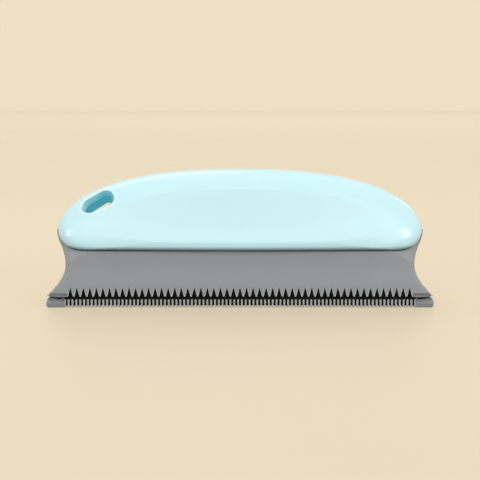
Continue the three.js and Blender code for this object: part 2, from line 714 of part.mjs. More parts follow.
const remover = new THREE.Group();
remover.add(
  piece("handle_front_shell", frontShell(), HANDLE_COLOR, 0.2),
  piece("handle_rear_shell", rearShell(), HANDLE_COLOR, 0.2),
  piece("blade_core", coreSolid(0), CORE_COLOR, 0.6),
  piece("rubber_blade", rubberBlade(), RUBBER_COLOR, 0.75),
);
SCREW_PLACES.forEach((x, index) => {
  remover.add(piece(`shell_screw_${index + 1}`, screw(x), STEEL_COLOR, 0.35, 1));
});

export default remover;
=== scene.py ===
"""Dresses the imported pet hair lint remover: handle shells, a toothed rubber blade, screws and a stage."""

import math

import bmesh
import bpy
import numpy as np
from bpy.props import FloatProperty, FloatVectorProperty, PointerProperty
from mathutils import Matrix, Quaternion, Vector


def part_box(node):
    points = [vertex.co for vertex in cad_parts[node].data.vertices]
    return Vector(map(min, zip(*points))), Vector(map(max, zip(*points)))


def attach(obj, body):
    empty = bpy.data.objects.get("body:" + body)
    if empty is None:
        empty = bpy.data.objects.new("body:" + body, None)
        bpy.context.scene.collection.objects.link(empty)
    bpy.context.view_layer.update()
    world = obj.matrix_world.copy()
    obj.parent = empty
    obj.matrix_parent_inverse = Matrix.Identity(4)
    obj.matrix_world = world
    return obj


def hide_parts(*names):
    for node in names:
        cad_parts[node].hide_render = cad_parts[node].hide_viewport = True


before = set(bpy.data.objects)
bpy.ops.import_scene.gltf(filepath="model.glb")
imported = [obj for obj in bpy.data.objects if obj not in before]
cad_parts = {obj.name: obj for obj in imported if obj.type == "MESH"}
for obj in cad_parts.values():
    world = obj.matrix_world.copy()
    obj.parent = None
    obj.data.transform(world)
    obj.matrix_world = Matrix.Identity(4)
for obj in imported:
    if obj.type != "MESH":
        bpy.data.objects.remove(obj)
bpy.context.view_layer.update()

bl_info = {
    "name": "Lint Remover Dressing",
    "version": (1, 0, 0),
    "blender": (4, 5, 0),
    "location": "View3D > Sidebar > Lint Remover",
    "description": "Builds the finished pieces of a pet hair lint remover over its packed frame",
    "category": "Object",
}

MM = 0.001
FRONT = -1
REAR = 1
SHELL_LOW, SHELL_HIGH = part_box("handle_front_shell")
BLADE_LOW, BLADE_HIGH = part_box("rubber_blade")
SCREW_NODES = [f"shell_screw_{number}" for number in range(1, 5)]

# Points along each run of the handle's outline: half base, corner, arch, corner, half base.
EDGE_RUNS = (48, 22, 200, 22, 48)
DENSE_RUNS = (600, 400, 6000, 400, 600)
# Points along the arch and along each shorter run, before they are spaced evenly.
ARCH_TRACE = 8000
RUN_TRACE = 800
# How finely the pieces are divided.
OUTER_RINGS = 72
INNER_RINGS = 36
ROUND_STEPS = 6
SLOT_POINTS = 120
TUNNEL_STEPS = 8
WELL_POINTS = 48
BLADE_CORNER_STEPS = 14
LIP_STEPS = 9
FLARE_STEPS = 26
HORN_STEPS = 30
HEAD_STEPS = 8
FLOOR_POINTS = 96
FLOOR_RADIUS = 4.0
# Halvings that find where a line meets the handle's skin.
HALVINGS = 50
# How far a cutter stands out of what it cuts, and how close points may lie after a cut.
OVERCUT = 1 * MM
CLEAN_STEP = 0.003 * MM
# How far a skin is opened beyond a mouth before it is sewn to the mouth's rim.
SLOT_MARGIN = 0.3 * MM
BOSS_MARGIN = 0.4 * MM
# Painted shade on the slot's wall in the front shell, with more of it towards the slot's head.
FRONT_SLOT_SHADE = 0.38
HEAD_SLOT_SHADE = 0.5
# Painted shade on the slot's wall in the rear shell, with more of it on the roof, and how fast it deepens.
REAR_SLOT_SHADE = 0.2
ROOF_SLOT_SHADE = 0.8
REAR_SLOT_SHADE_RATE = 2.5
# The loop of the slot's wall where its painted shade begins, and the middle and spread of its painted
# highlight round the rim, in loops.
SLOT_SHADE_LOOP = 2
RIM_HIGHLIGHT_LOOP = 1.5
RIM_HIGHLIGHT_SPREAD = 3
# The least share of its width that the tapered slot keeps.
LEAST_SPREAD = 0.5
# Turns of thread that the neck under a screw's head would hold.
NECK_TURNS = 1.5
# What is left of the rubber's colour under full painted shade, deep in the notches, the groove and under
# the handle.
FULL_SHADE_SHARE = 0.06
# The corners of a rectangle, in order round it.
QUARTERS = ((-1, -1), (1, -1), (1, 1), (-1, 1))


def distance(name, description, default, low=0.0):
    """A length that a user may change, or a coordinate where low lies below zero."""
    return FloatProperty(
        name=name,
        description=description,
        default=default,
        min=low,
        precision=5,
        subtype="DISTANCE",
        unit="LENGTH",
    )


def turn(name, description, degrees):
    """An angle that a user may change."""
    return FloatProperty(
        name=name, description=description, default=math.radians(degrees), subtype="ANGLE", unit="ROTATION"
    )


def plain(name, description, default):
    """A bare number, such as a power, a share or a strength."""
    return FloatProperty(name=name, description=description, default=default, min=0.0, precision=3)


def colour(name, description, default):
    """A scene-linear colour that a user may change."""
    return FloatVectorProperty(
        name=name, description=description, default=default, size=3, min=0.0, max=1.0, subtype="COLOR"
    )


class HandleForm(bpy.types.PropertyGroup):
    """Sizes of the arched handle and its hang slot."""

    length: distance("Length", "End to end at the widest level", SHELL_HIGH.x - SHELL_LOW.x)
    depth: distance("Depth", "Front face to rear face", 36 * MM)
    top_z: distance("Crown level", "Highest point of the arch", SHELL_HIGH.z)
    widest_z: distance("Widest level", "Where the handle is longest", 36.3 * MM)
    bottom_z: distance("Base level", "Flat underside", SHELL_LOW.z - 0.35 * MM)
    # Height of the painted shade on the turned-under base.
    base_shade: distance("Base shade", "Height over which the turned-under base darkens", 2.6 * MM)
    corner: distance("Base corner", "Length of each rounded lower corner", 11 * MM)
    arch_power_x: plain("Arch shoulder", "Squareness of the arch along its length", 2.5)
    arch_power_z: plain("Arch crown", "Squareness of the arch along its height", 1.85)
    crown_power: plain("Edge roundness above", "How the face swells from the arch", 2.4)
    base_power: plain("Edge roundness below", "How the face swells from the base", 8.0)
    edge_bias: plain("Edge bias", "How closely the lower roundness keeps to the base", 2.3)
    edge_blend: distance("Edge blend", "Height over which the one roundness passes into the other", 15 * MM)
    wall: distance("Wall", "Thickness of the moulded wall", 2.4 * MM)
    seam_gap: distance("Seam gap", "Gap between the two shells", 0.3 * MM)
    seam_round: distance("Seam rounding", "Rounding of each shell's edge at the seam", 0.3 * MM)
    clamp_y: distance("Clamp face", "Where bosses and the base opening stop short of the core", 2.3 * MM)
    opening_half: distance("Base opening", "Half length of the opening for the core", 56.3 * MM)
    dish_depth: distance("Hollow depth", "Depth of the finger hollow", 2.0 * MM)
    dish_length: distance("Hollow length", "Length of the finger hollow", 124 * MM)
    dish_z: distance("Hollow level", "Where the finger hollow is longest", 40.7 * MM)
    dish_rise: distance("Hollow rise", "Height of the hollow above that level", 15.4 * MM)
    dish_drop: distance("Hollow drop", "Height of the hollow below that level", 9.4 * MM)
    dish_head: plain("Hollow head", "Squareness of the hollow's upper half", 2.5)
    dish_foot: plain("Hollow foot", "Squareness of the hollow's lower half", 4.0)
    dish_lean: plain("Hollow lean", "How much deeper the hollow gets towards its head", 0.6)
    dish_power: plain("Hollow roundness", "How much steeper the hollow gets towards its rim", 2.1)
    dish_softness: plain("Hollow rim", "Softness of the hollow's rim, as a share of its depth", 0.045)
    slot_length: distance("Slot length", "Length of the hang slot", 15.4 * MM)
    slot_width: distance("Slot width", "Width of the hang slot", 7.9 * MM)
    slot_taper: plain("Slot taper", "How much wider the slot is at its upper end", 0.16)
    slot_x: distance("Slot place", "Middle of the slot along the handle", -66.8 * MM, low=-1.0)
    slot_z: distance("Slot level", "Middle of the slot at the seam", 45.2 * MM)
    slot_tilt: turn("Slot tilt", "Tilt of the slot along the arch", 27)
    slot_fall: turn("Slot fall", "How steeply the slot falls to the rear", 23.3)
    slot_wall: distance("Sleeve wall", "Wall of the sleeve round the slot", 1.0 * MM)
    slot_draft: distance("Slot draft", "How far the slot narrows from each mouth to the seam", 0.25 * MM)
    slot_rim: distance("Slot rim", "Rounding of the slot's mouth", 1.3 * MM)


class BladeForm(bpy.types.PropertyGroup):
    """Sizes of the rubber blade and its two rows of teeth."""

    lower_length: distance("Lower lip length", "End to end", BLADE_HIGH.x - BLADE_LOW.x)
    lower_depth: distance("Lower lip depth", "Front edge to rear edge", BLADE_HIGH.y - BLADE_LOW.y)
    lower_face: distance("Lower lip face", "Height of the lower lip's front", 3.75 * MM)
    lower_round: distance("Lower lip end", "Rounding of the lower lip's ends", 1.0 * MM)
    lower_edge: distance("Lower lip edge", "Rounding of the lower lip's long edges", 0.3 * MM)
    groove_drop: distance("Groove drop", "How far the groove slants down", 1.2 * MM)
    groove_depth: distance("Groove depth", "Depth of the groove between the rows", 7 * MM)
    groove_end: distance("Groove end depth", "Depth of the groove at the blade's ends", 6.5 * MM)
    groove_root: distance("Groove root", "Height of the groove's root", 0.8 * MM)
    upper_length: distance("Upper lip length", "End to end", 182 * MM)
    upper_depth: distance("Upper lip depth", "Front edge to rear edge", 28 * MM)
    upper_z: distance("Upper lip level", "Tips of the coarse row", 5.06 * MM)
    plain_z: distance("Plain level", "The front stays upright up to here", 9.6 * MM)
    waist_length: distance("Waist length", "Shortest level of the blade", 164.3 * MM)
    waist_depth: distance("Waist depth", "Front to rear at the waist", 27 * MM)
    waist_z: distance("Waist level", "Where the blade is shortest", 19.5 * MM)
    flare_power: plain("Flare", "How the ends draw in from the lip to the waist", 1.8)
    waist_hold: distance("Waist hold", "How far the waist holds its length upwards", 0.6 * MM)
    saddle_depth: distance("Saddle depth", "Front to rear under the handle", 27.6 * MM)
    saddle_z: distance("Saddle level", "Under the handle, below a shadow gap", SHELL_LOW.z - 0.95 * MM)
    horn_half: distance("Horn reach", "Half length at the end horns", 87.6 * MM)
    horn_depth: distance("Horn depth", "Front to rear at the horns' tops", 9 * MM)
    horn_nose: distance("Horn nose", "Length over which a horn rounds", 38 * MM)
    horn_z: distance("Horn level", "Top of the horns", BLADE_HIGH.z)
    nose_z: distance("Nose level", "Where the horns begin to round", 20 * MM)
    lip_corner: distance("Lip corner", "Corner radius of the lips", 1.2 * MM)
    waist_corner: distance("Waist corner", "Corner radius of the waist", 3 * MM)
    fit_gap: distance("Fit gap", "Clearance to the handle and the core", 0.3 * MM)
    coarse_plain: distance("Coarse plain end", "Length of the upper lip's ends without notches", 9.6 * MM)
    coarse_pitch: distance("Coarse pitch", "Pitch of the coarse row", 3.07 * MM)
    coarse_height: distance("Coarse height", "Height of a coarse tooth", 4.1 * MM)
    coarse_tip: distance("Coarse tip", "Width of a coarse tooth's tip", 0.1 * MM)
    coarse_top: distance("Coarse top", "Width of a coarse notch at its top", 0.3 * MM)
    coarse_depth: distance("Coarse depth", "How far back a coarse notch reaches", 5.8 * MM)
    fine_plain: distance("Fine plain end", "Length of the lower lip's ends without slots", 8.6 * MM)
    fine_pitch: distance("Fine pitch", "Pitch of the fine row", 1.81 * MM)
    fine_height: distance("Fine height", "Top of a fine slot, just through the lip", 3.95 * MM)
    fine_gap: distance("Fine gap", "Width of a fine slot at the foot", 1.5 * MM)
    fine_gap_top: distance("Fine gap above", "Width of a fine slot at its top", 1.32 * MM)
    fine_depth: distance("Fine depth", "How far back a fine slot reaches", 4.6 * MM)
    coarse_mouth: distance("Coarse mouth", "How far each wall of a coarse notch flares", 0.3 * MM)
    fine_mouth: distance("Fine mouth", "How far each wall of a fine slot flares", 0.13 * MM)
    light_depth: distance("Light depth", "How far back the walls of the notches stay light", 2.0 * MM)
    bevel_depth: distance("Bevel depth", "How far back the bevel under an upper end reaches", 2.2 * MM)
    bevel_height: distance("Bevel height", "How far up the front that bevel reaches", 1.6 * MM)
    bevel_tip: distance("Bevel tip", "What that bevel leaves of the lip at its tip", 0.5 * MM)
    chamfer_depth: distance("Chamfer depth", "How far back the slope on a lower end reaches", 4 * MM)
    chamfer_drop: distance("Chamfer drop", "How far down the front that slope reaches", 1.8 * MM)
    channel_width: distance("Channel width", "Width of the hollow below, at the foot", 11 * MM)
    channel_top: distance("Channel top", "Width of the hollow below, at its top", 8 * MM)
    channel_height: distance("Channel height", "Height of the hollow below", 8 * MM)


class ScrewForm(bpy.types.PropertyGroup):
    """Sizes of the screws that draw the shells together."""

    pitch: distance("Pitch", "Distance between neighbouring screws", 30 * MM)
    level: distance("Level", "Height of the screws", 41 * MM)
    seat_y: distance("Seat", "Where a head sits", 9 * MM)
    radius: distance("Shank radius", "Radius of the shank", 1.5 * MM)
    length: distance("Length", "Tip to seat", 18 * MM)
    tip_share: plain("Tip", "Radius of the tip, as a share of the shank's", 0.15)
    thread_pitch: distance("Thread pitch", "Distance between neighbouring ridges", 1.0 * MM)
    thread_root: plain("Thread root", "Radius between two ridges, as a share of the shank's", 0.8)
    thread_lean: plain("Thread lean", "Where the root lies from one ridge to the next", 0.45)
    head_radius: distance("Head radius", "Radius of the pan head", 2.8 * MM)
    head_height: distance("Head height", "Height of the pan head", 2 * MM)
    head_gap: distance("Head gap", "Gap between a head and its seat", 0.1 * MM)
    head_edge: distance("Head edge", "How far below its middle the head begins to round", 0.3 * MM)
    head_flat: plain("Head flat", "Radius of the flat on top, as a share of the head's", 0.55)
    well_radius: distance("Well radius", "Radius of the well over a head", 3.1 * MM)
    hole_radius: distance("Hole radius", "Radius of the hole for the shank", 1.7 * MM)
    boss_radius: distance("Boss radius", "Radius of each boss", 4.4 * MM)
    well_rim: distance("Well rim", "Rounding of each well's mouth", 0.5 * MM)
    recess_length: distance("Recess length", "Length of the cross recess", 3.4 * MM)
    recess_width: distance("Recess width", "Width of the cross recess", 0.9 * MM)
    recess_depth: distance("Recess depth", "Depth of the cross recess", 1.2 * MM)


class RemoverFinish(bpy.types.PropertyGroup):
    """Colours of the remover's materials."""

    handle: colour("Handle", "Glossy pale cyan plastic", (0.602, 0.893, 0.944))
    # Painted shade deep in the slot: the plastic's colour made darker and more saturated, as light bouncing
    # in the slot makes it.
    handle_slot_shade: colour("Handle recess", "The same plastic deep in the slot", (0.09, 0.80, 0.94))
    # Painted shade where the base turns under, over the rubber.
    handle_base_shade: colour("Handle base", "The same plastic where the base turns under", (0.06, 0.14, 0.15))
    # Painted highlight round the slot's rounded mouth.
    handle_rim_highlight: colour("Handle rim", "The same plastic round the slot's mouth", (0.74, 0.93, 0.96))
    rubber: colour("Rubber", "Matte grey rubber", (0.305, 0.315, 0.327))
    rubber_grain: colour("Rubber grain", "Light grains in the rubber", (0.52, 0.52, 0.52))
    # Painted light on the flared flanks and front walls of the notches, and on the bevels under the upper
    # lip's ends.
    rubber_painted_light: colour("Rubber edge", "Rubber on the flared flanks of the teeth", (0.85, 0.85, 0.84))
    steel: colour("Screw steel", "Plated steel", (0.60, 0.61, 0.63))
    core: colour("Core", "Dark moulded plastic", (0.047, 0.054, 0.062))


class StageForm(bpy.types.PropertyGroup):
    """The floor, the light and the camera."""

    floor: colour("Floor", "Part of the pale floor that the lamps light", (0.32, 0.275, 0.20))
    floor_glow: colour("Floor glow", "Part of the pale floor that shows in any light", (0.45, 0.385, 0.285))
    floor_bounce: colour("Floor light", "Light that the floor throws back", (0.12, 0.12, 0.12))
    backdrop: colour("Backdrop", "Plain pale background", (0.86, 0.745, 0.56))
    world_strength: plain("Even light", "Strength of the even light", 0.65)
    camera_distance: distance("Camera distance", "From the aim point", 500 * MM)
    camera_lift: turn("Camera lift", "Angle above the floor", 8.4)
    camera_aim: distance("Camera aim", "Height that the camera looks at", 29.85 * MM)
    camera_view: turn("Field of view", "Whole angle across the frame", 25.95)


class LintRemover(bpy.types.PropertyGroup):
    """Everything a user may change."""

    handle: PointerProperty(type=HandleForm)
    blade: PointerProperty(type=BladeForm)
    screw: PointerProperty(type=ScrewForm)
    finish: PointerProperty(type=RemoverFinish)
    stage: PointerProperty(type=StageForm)


def opaque(rgb, factor=1.0):
    """A colour as four numbers."""
    return (rgb[0] * factor, rgb[1] * factor, rgb[2] * factor, 1.0)


class Wire:
    """A shader socket that takes part in Python sums."""

    def __init__(self, finish, socket):
        self.finish = finish
        self.socket = socket

    def __add__(self, other):
        return self.finish.maths("ADD", self, other)

    def __radd__(self, other):
        return self.finish.maths("ADD", other, self)

    def __sub__(self, other):
        return self.finish.maths("SUBTRACT", self, other)

    def __rsub__(self, other):
        return self.finish.maths("SUBTRACT", other, self)

    def __mul__(self, other):
        return self.finish.maths("MULTIPLY", self, other)

    def __rmul__(self, other):
        return self.finish.maths("MULTIPLY", other, self)


class Finish:
    """A node tree under construction: a material's, or the world's."""

    def __init__(self, owner):
        owner.use_nodes = True
        self.owner = owner
        self.tree = owner.node_tree
        self.tree.nodes.clear()

    def node(self, kind, settings=None, sockets=None, out=0):
        """Adds a node: its settings are set first, then its sockets are filled or linked."""
        made = self.tree.nodes.new(kind)
        for name, value in (settings or {}).items():
            setattr(made, name, value)
        for name, value in (sockets or {}).items():
            target = self.find(made.inputs, name)
            if isinstance(value, Wire):
                self.tree.links.new(value.socket, target)
            else:
                target.default_value = value
        if not made.outputs:
            return made
        return Wire(self, self.find(made.outputs, out))

    @staticmethod
    def find(sockets, name):
        """A socket by its place, its identifier or its name."""
        for socket in sockets:
            if socket.identifier == name:
                return socket
        return sockets[name]

    def maths(self, operation, first, second):
        """A sum on two values."""
        return self.node("ShaderNodeMath", {"operation": operation}, {0: first, 1: second})

    def blend(self, factor, low, high):
        """A colour between two colours."""
        settings = {"data_type": "RGBA"}
        sockets = {"Factor_Float": factor, "A_Color": low, "B_Color": high}
        return self.node("ShaderNodeMix", settings, sockets, out="Result_Color")

    def clouded(self, cloud, rgb, share):
        """A colour that a cloud darkens and lightens by a share."""
        return self.blend(cloud, opaque(rgb, 1 - share), opaque(rgb, 1 + share))

    def painted(self, name):
        """Values that are painted on the mesh under a name."""
        return self.node("ShaderNodeAttribute", {"attribute_name": name}, out="Fac")

    def noise(self, scale, detail, roughness=0.5):
        """Cloudy values over the piece, at a scale in clouds to the metre."""
        where = self.node("ShaderNodeTexCoord", out="Object")
        sockets = {"Vector": where, "Scale": scale, "Detail": detail, "Roughness": roughness}
        return self.node("ShaderNodeTexNoise", None, sockets, out="Fac")

    def ramp(self, value, low, high):
        """0 below low, 1 above high, smooth between."""
        settings = {"interpolation_type": "SMOOTHSTEP"}
        sockets = {"Value": value, "From Min": low, "From Max": high}
        return self.node("ShaderNodeMapRange", settings, sockets, out="Result")

    def bump(self, height, strength, depth):
        """A normal that follows heights up to a depth."""
        sockets = {"Height": height, "Strength": strength, "Distance": depth}
        return self.node("ShaderNodeBump", None, sockets, out="Normal")

    def seen(self):
        """1 for what is looked at, also in a reflection or through glass, and 0 for what only lights."""
        path = "ShaderNodeLightPath"
        direct = self.node(path, out="Is Camera Ray")
        return direct + self.node(path, out="Is Glossy Ray") + self.node(path, out="Is Transmission Ray")

    def surface(self, sockets):
        """Ends the material in one shader, and hands it over."""
        shader = self.node("ShaderNodeBsdfPrincipled", None, sockets, out="BSDF")
        self.node("ShaderNodeOutputMaterial", None, {"Surface": shader})
        return self.owner


def handle_plastic(colours):
    """Glossy moulded plastic with a faint cloud in its colour and a slight orange peel, with painted shade
    deep in the slot and at the turned-under base, and a painted highlight round the slot's mouth.
    """
    finish = Finish(bpy.data.materials.new("handle_plastic"))
    peel = finish.noise(scale=420, detail=2)
    # Painted shade in the slot, which also roughens the plastic and thins its coat there.
    recess = finish.painted("recess")
    skin = finish.clouded(finish.noise(scale=45, detail=3), colours.handle, 0.015)
    # Painted highlight round the slot's mouth.
    edged = finish.blend(finish.painted("rim"), skin, opaque(colours.handle_rim_highlight))
    with_slot_shade = finish.blend(recess, edged, opaque(colours.handle_slot_shade))
    return finish.surface(
        {
            # Painted shade at the turned-under base.
            "Base Color": finish.blend(finish.painted("under"), with_slot_shade, opaque(colours.handle_base_shade)),
            "Roughness": 0.2 + 0.06 * finish.noise(scale=160, detail=4) + 0.3 * recess,
            "Normal": finish.bump(peel, strength=0.06, depth=0.1 * MM),
            "IOR": 1.5,
            "Coat Weight": 0.25 - 0.25 * recess,
            "Coat Roughness": 0.17,
        }
    )


def blade_rubber(colours):
    """Matte rubber: soft clouds, fine grain, painted light on the flanks of the teeth and painted shade
    deep in the notches, the groove and under the handle.
    """
    finish = Finish(bpy.data.materials.new("blade_rubber"))
    cloud = finish.noise(scale=70, detail=4)
    grain = finish.noise(scale=3200, detail=3, roughness=0.65)
    dust = finish.ramp(finish.noise(scale=900, detail=5, roughness=0.7), low=0.62, high=0.78)
    tone = finish.clouded(cloud, colours.rubber, 0.05)
    speckled = finish.blend(0.10 * grain + 0.06 * dust, tone, opaque(colours.rubber_grain))
    # Painted light on the flanks, clouded a little.
    flank = finish.painted("painted_light") * (0.75 + 0.25 * cloud)
    edged = finish.blend(flank, speckled, opaque(colours.rubber_painted_light))
    # Painted shade, at its fullest deep in the notches.
    deep = opaque(colours.rubber, FULL_SHADE_SHARE)
    return finish.surface(
        {
            "Base Color": finish.blend(finish.painted("shade"), edged, deep),
            "Roughness": 0.58 + 0.2 * grain,
            "Normal": finish.bump(grain, strength=0.25, depth=0.05 * MM),
            "IOR": 1.45,
        }
    )


def core_plastic(colours):
    """Dark moulded plastic with a fine sparked texture."""
    finish = Finish(bpy.data.materials.new("core_plastic"))
    spark = finish.noise(scale=2500, detail=3, roughness=0.6)
    cloud = finish.noise(scale=120, detail=3)
    return finish.surface(
        {
            "Base Color": finish.blend(cloud, opaque(colours.core, 0.85), opaque(colours.core, 1.2)),
            "Roughness": 0.5 + 0.2 * spark,
            "Normal": finish.bump(spark, strength=0.3, depth=0.05 * MM),
        }
    )


def screw_steel(colours):
    """Plated steel with faint turning marks and scuffs."""
    finish = Finish(bpy.data.materials.new("screw_steel"))
    scuff = finish.ramp(finish.noise(scale=1800, detail=4, roughness=0.7), low=0.5, high=0.75)
    turned = finish.noise(scale=5200, detail=2)
    return finish.surface(
        {
            "Base Color": finish.blend(scuff, opaque(colours.steel), opaque(colours.steel, 0.8)),
            "Metallic": 1.0,
            "Roughness": 0.24 + 0.1 * turned + 0.12 * scuff,
            "Normal": finish.bump(turned, strength=0.1, depth=0.03 * MM),
        }
    )


def floor_finish(colours):
    """Plain pale floor with a soft sheen."""
    finish = Finish(bpy.data.materials.new("pale_floor"))
    cloud = finish.noise(scale=14, detail=2)
    shown = finish.clouded(cloud, colours.floor, 0.02)
    glow = opaque(colours.floor_glow)
    unlit = opaque(colours.floor_glow, 0.0)
    return finish.surface(
        {
            "Base Color": finish.blend(finish.seen(), opaque(colours.floor_bounce), shown),
            "Roughness": 0.42 + 0.06 * cloud,
            "Specular IOR Level": 0.25,
            "Emission Color": finish.blend(finish.seen(), unlit, glow),
            "Emission Strength": 1.0,
        }
    )


def new_piece(name, mesh_maker):
    """An object from a bmesh that is thrown away afterwards."""
    mesh = bpy.data.meshes.new(name)
    mesh_maker.to_mesh(mesh)
    mesh_maker.free()
    piece = bpy.data.objects.new(name, mesh)
    bpy.context.scene.collection.objects.link(piece)
    return piece


def closed_piece(name, mesh_maker):
    """An object from a bmesh whose faces are first turned outwards."""
    bmesh.ops.recalc_face_normals(mesh_maker, faces=mesh_maker.faces)
    return new_piece(name, mesh_maker)


def smooth(piece, degrees):
    """Smooth shading, with an edge kept sharp where its faces turn by more than this."""
    mesh = piece.data
    mesh.polygons.foreach_set("use_smooth", [True] * len(mesh.polygons))
    mesh.set_sharp_from_angle(angle=math.radians(degrees))
    mesh.update()


def settle(piece):
    """Applies a piece's modifiers to its mesh."""
    evaluated = piece.evaluated_get(bpy.context.evaluated_depsgraph_get())
    result = bpy.data.meshes.new_from_object(evaluated)
    spent = piece.data
    piece.modifiers.clear()
    piece.data = result
    bpy.data.meshes.remove(spent)


def carve(piece, cutter, operation="DIFFERENCE"):
    """Cuts one piece by another, which is used up."""
    modifier = piece.modifiers.new("carve", "BOOLEAN")
    modifier.operation = operation
    modifier.solver = "EXACT"
    modifier.object = cutter
    settle(piece)
    spent = cutter.data
    bpy.data.objects.remove(cutter)
    bpy.data.meshes.remove(spent)


def clean(piece):
    """Joins points that a cut left on top of each other, and takes out flaps and faces without area."""
    maker = bmesh.new()
    maker.from_mesh(piece.data)
    bmesh.ops.remove_doubles(maker, verts=maker.verts, dist=CLEAN_STEP)
    bmesh.ops.triangulate(maker, faces=maker.faces)
    bmesh.ops.dissolve_degenerate(maker, dist=CLEAN_STEP, edges=maker.edges)
    bmesh.ops.triangulate(maker, faces=maker.faces)
    twins = {}
    for face in maker.faces:
        twins.setdefault(frozenset(face.verts), []).append(face)
    flaps = [face for faces in twins.values() if len(faces) > 1 for face in faces]
    bmesh.ops.delete(maker, geom=flaps, context="FACES")
    maker.to_mesh(piece.data)
    maker.free()


def finish_piece(piece, material, slot, *nodes):
    """Gives a finished piece its material, hides the solids it stands for and hangs it on the body it rides
    on.
    """
    piece.data.materials.clear()
    piece.data.materials.append(material)
    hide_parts(*nodes)
    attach(piece, "root")


def evenly(points, count):
    """Points at equal steps along a run of rows, without its end."""
    steps = np.hypot(np.diff(points[0]), np.diff(points[1]))
    along = np.concatenate([[0], np.cumsum(steps)])
    wanted = np.linspace(0, along[-1], count + 1)[:-1]
    return np.array([np.interp(wanted, along, row) for row in points])


def edge_power(form, x, z):
    """The roundness of the shell over its edge, in the direction of (x, z) from the middle of its face."""
    up = (z - form.widest_z) / form.edge_blend
    down = (1 - up / np.hypot(up, 2 * x / form.length)) / 2
    return form.crown_power + (form.base_power - form.crown_power) * down**form.edge_bias


def handle_outline(form, inset, runs):
    """The handle's outline as rows (x, z, power), from the middle of the base round by the right."""
    half = form.length / 2 - inset
    rise = form.top_z - form.widest_z - inset
    drop = form.widest_z - form.bottom_z - inset
    corner = form.corner - inset
    flat = half - corner
    sweep = np.linspace(0, math.pi, ARCH_TRACE)
    across = np.cos(sweep)
    arch_x = half * np.sign(across) * np.abs(across) ** (2 / form.arch_power_x)
    arch_z = form.widest_z + rise * np.abs(np.sin(sweep)) ** (2 / form.arch_power_z)
    turned = np.linspace(math.pi / 2, 0, RUN_TRACE)
    right = np.array([flat + corner * np.cos(turned), form.widest_z - drop * np.sin(turned)])
    base = np.linspace(0, flat, RUN_TRACE)
    base_right = np.array([base, np.full_like(base, form.widest_z - drop)])
    flip = np.array([[-1], [1]])
    left = right[:, ::-1] * flip
    base_left = base_right[:, ::-1] * flip
    parts = [base_right, right, np.array([arch_x, arch_z]), left, base_left]
    x, z = np.concatenate([evenly(part, count) for part, count in zip(parts, runs)], axis=1)
    return np.array([x, z, edge_power(form, x, z)])


class Dome:
    """One half of the handle's skin, set in from the outside."""

    def __init__(self, form, inset, seam, rings):
        self.form = form
        self.seam = seam
        self.rings = rings
        self.depth = form.depth / 2 - inset - seam
        self.edge = handle_outline(form, inset, EDGE_RUNS)
        dense = handle_outline(form, inset, DENSE_RUNS)
        self.bearing = np.arctan2(dense[1] - form.widest_z, dense[0])
        self.radius = np.hypot(dense[0], dense[1] - form.widest_z)
        self.power = dense[2]
        self.steps = np.unwrap(np.arctan2(self.edge[1] - form.widest_z, self.edge[0]))

    def lower(self, x, z):
        """How far the finger hollow lowers the face."""
        form = self.form
        above = z > form.dish_z
        along = np.abs(2 * x / form.dish_length)
        across = np.abs(z - form.dish_z) / np.where(above, form.dish_rise, form.dish_drop)
        square = np.where(above, form.dish_head, form.dish_foot)
        within = 1 - (along**square + across**square) ** (form.dish_power / square)
        lean = 1 + form.dish_lean * np.clip((z - form.dish_z) / form.dish_rise, -1, 1)
        return form.dish_depth / 2 * lean * (within + np.hypot(within, form.dish_softness))

    def swollen(self, x, z, reach, power):
        """Distance of the skin from the seam plane, at a share of the way to the outline."""
        swell = np.clip(1 - np.minimum(reach, 1) ** power, 0, None) ** (1 / power)
        return self.seam + self.depth * swell - self.lower(x, z) * np.sqrt(swell)

    def polar(self, x, z):
        """Bearing from the widest level's middle, share of the way to the outline, and the power there."""
        bearing = np.arctan2(z - self.form.widest_z, x)
        radius = np.interp(bearing, self.bearing, self.radius, period=math.tau)
        power = np.interp(bearing, self.bearing, self.power, period=math.tau)
        return bearing, np.hypot(x, z - self.form.widest_z) / radius, power

    def height(self, x, z):
        """Distance of the skin from the seam plane at (x, z)."""
        _, reach, power = self.polar(x, z)
        return self.swollen(x, z, reach, power)

    def crest(self, side):
        """The skin's point over the middle of the widest level."""
        level = self.form.widest_z
        return Vector((0, side * self.height(np.zeros(1), np.full(1, level))[0], level))

    def grid_place(self, x, z):
        """Where (x, z) lies in the grid of steps and rings."""
        bearing, reach, _ = self.polar(x, z)
        unrolled = np.where(bearing < self.steps[0], bearing + math.tau, bearing)
        step = np.interp(unrolled, self.steps, np.arange(len(self.steps)))
        ring = np.arcsin(np.clip(reach, 0, 1)) * self.rings / (math.pi / 2)
        return np.stack([step, ring], axis=1)

    def grid(self):
        """Rings of points (x, height, z), from next to the middle out to the edge."""
        x, z, power = self.edge
        made = []
        for ring in range(1, self.rings + 1):
            reach = math.sin(math.pi / 2 * ring / self.rings)
            at_x = x * reach
            at_z = self.form.widest_z + (z - self.form.widest_z) * reach
            made.append(np.stack([at_x, self.swollen(at_x, at_z, reach, power), at_z], axis=1))
        return made

    def pierced(self, x, z, fall):
        """How far from the seam plane lines through (x, z), rising by fall, meet the skin."""
        near = np.zeros_like(x)
        far = np.full_like(x, self.form.depth)
        for _ in range(HALVINGS):
            middle = (near + far) / 2
            inside = self.height(x, z + fall * middle) > middle
            near = np.where(inside, middle, near)
            far = np.where(inside, far, middle)
        return near


def loop_of(maker, points):
    """Vertices along a closed loop, joined by edges."""
    made = [maker.verts.new(point) for point in points]
    for first, second in zip(made, made[1:] + made[:1]):
        maker.edges.new((first, second))
    return made


def bridge(maker, first, second):
    """A band of faces between two loops of the same count."""
    count = len(first)
    for step in range(count):
        following = (step + 1) % count
        maker.faces.new((first[step], first[following], second[following], second[step]))


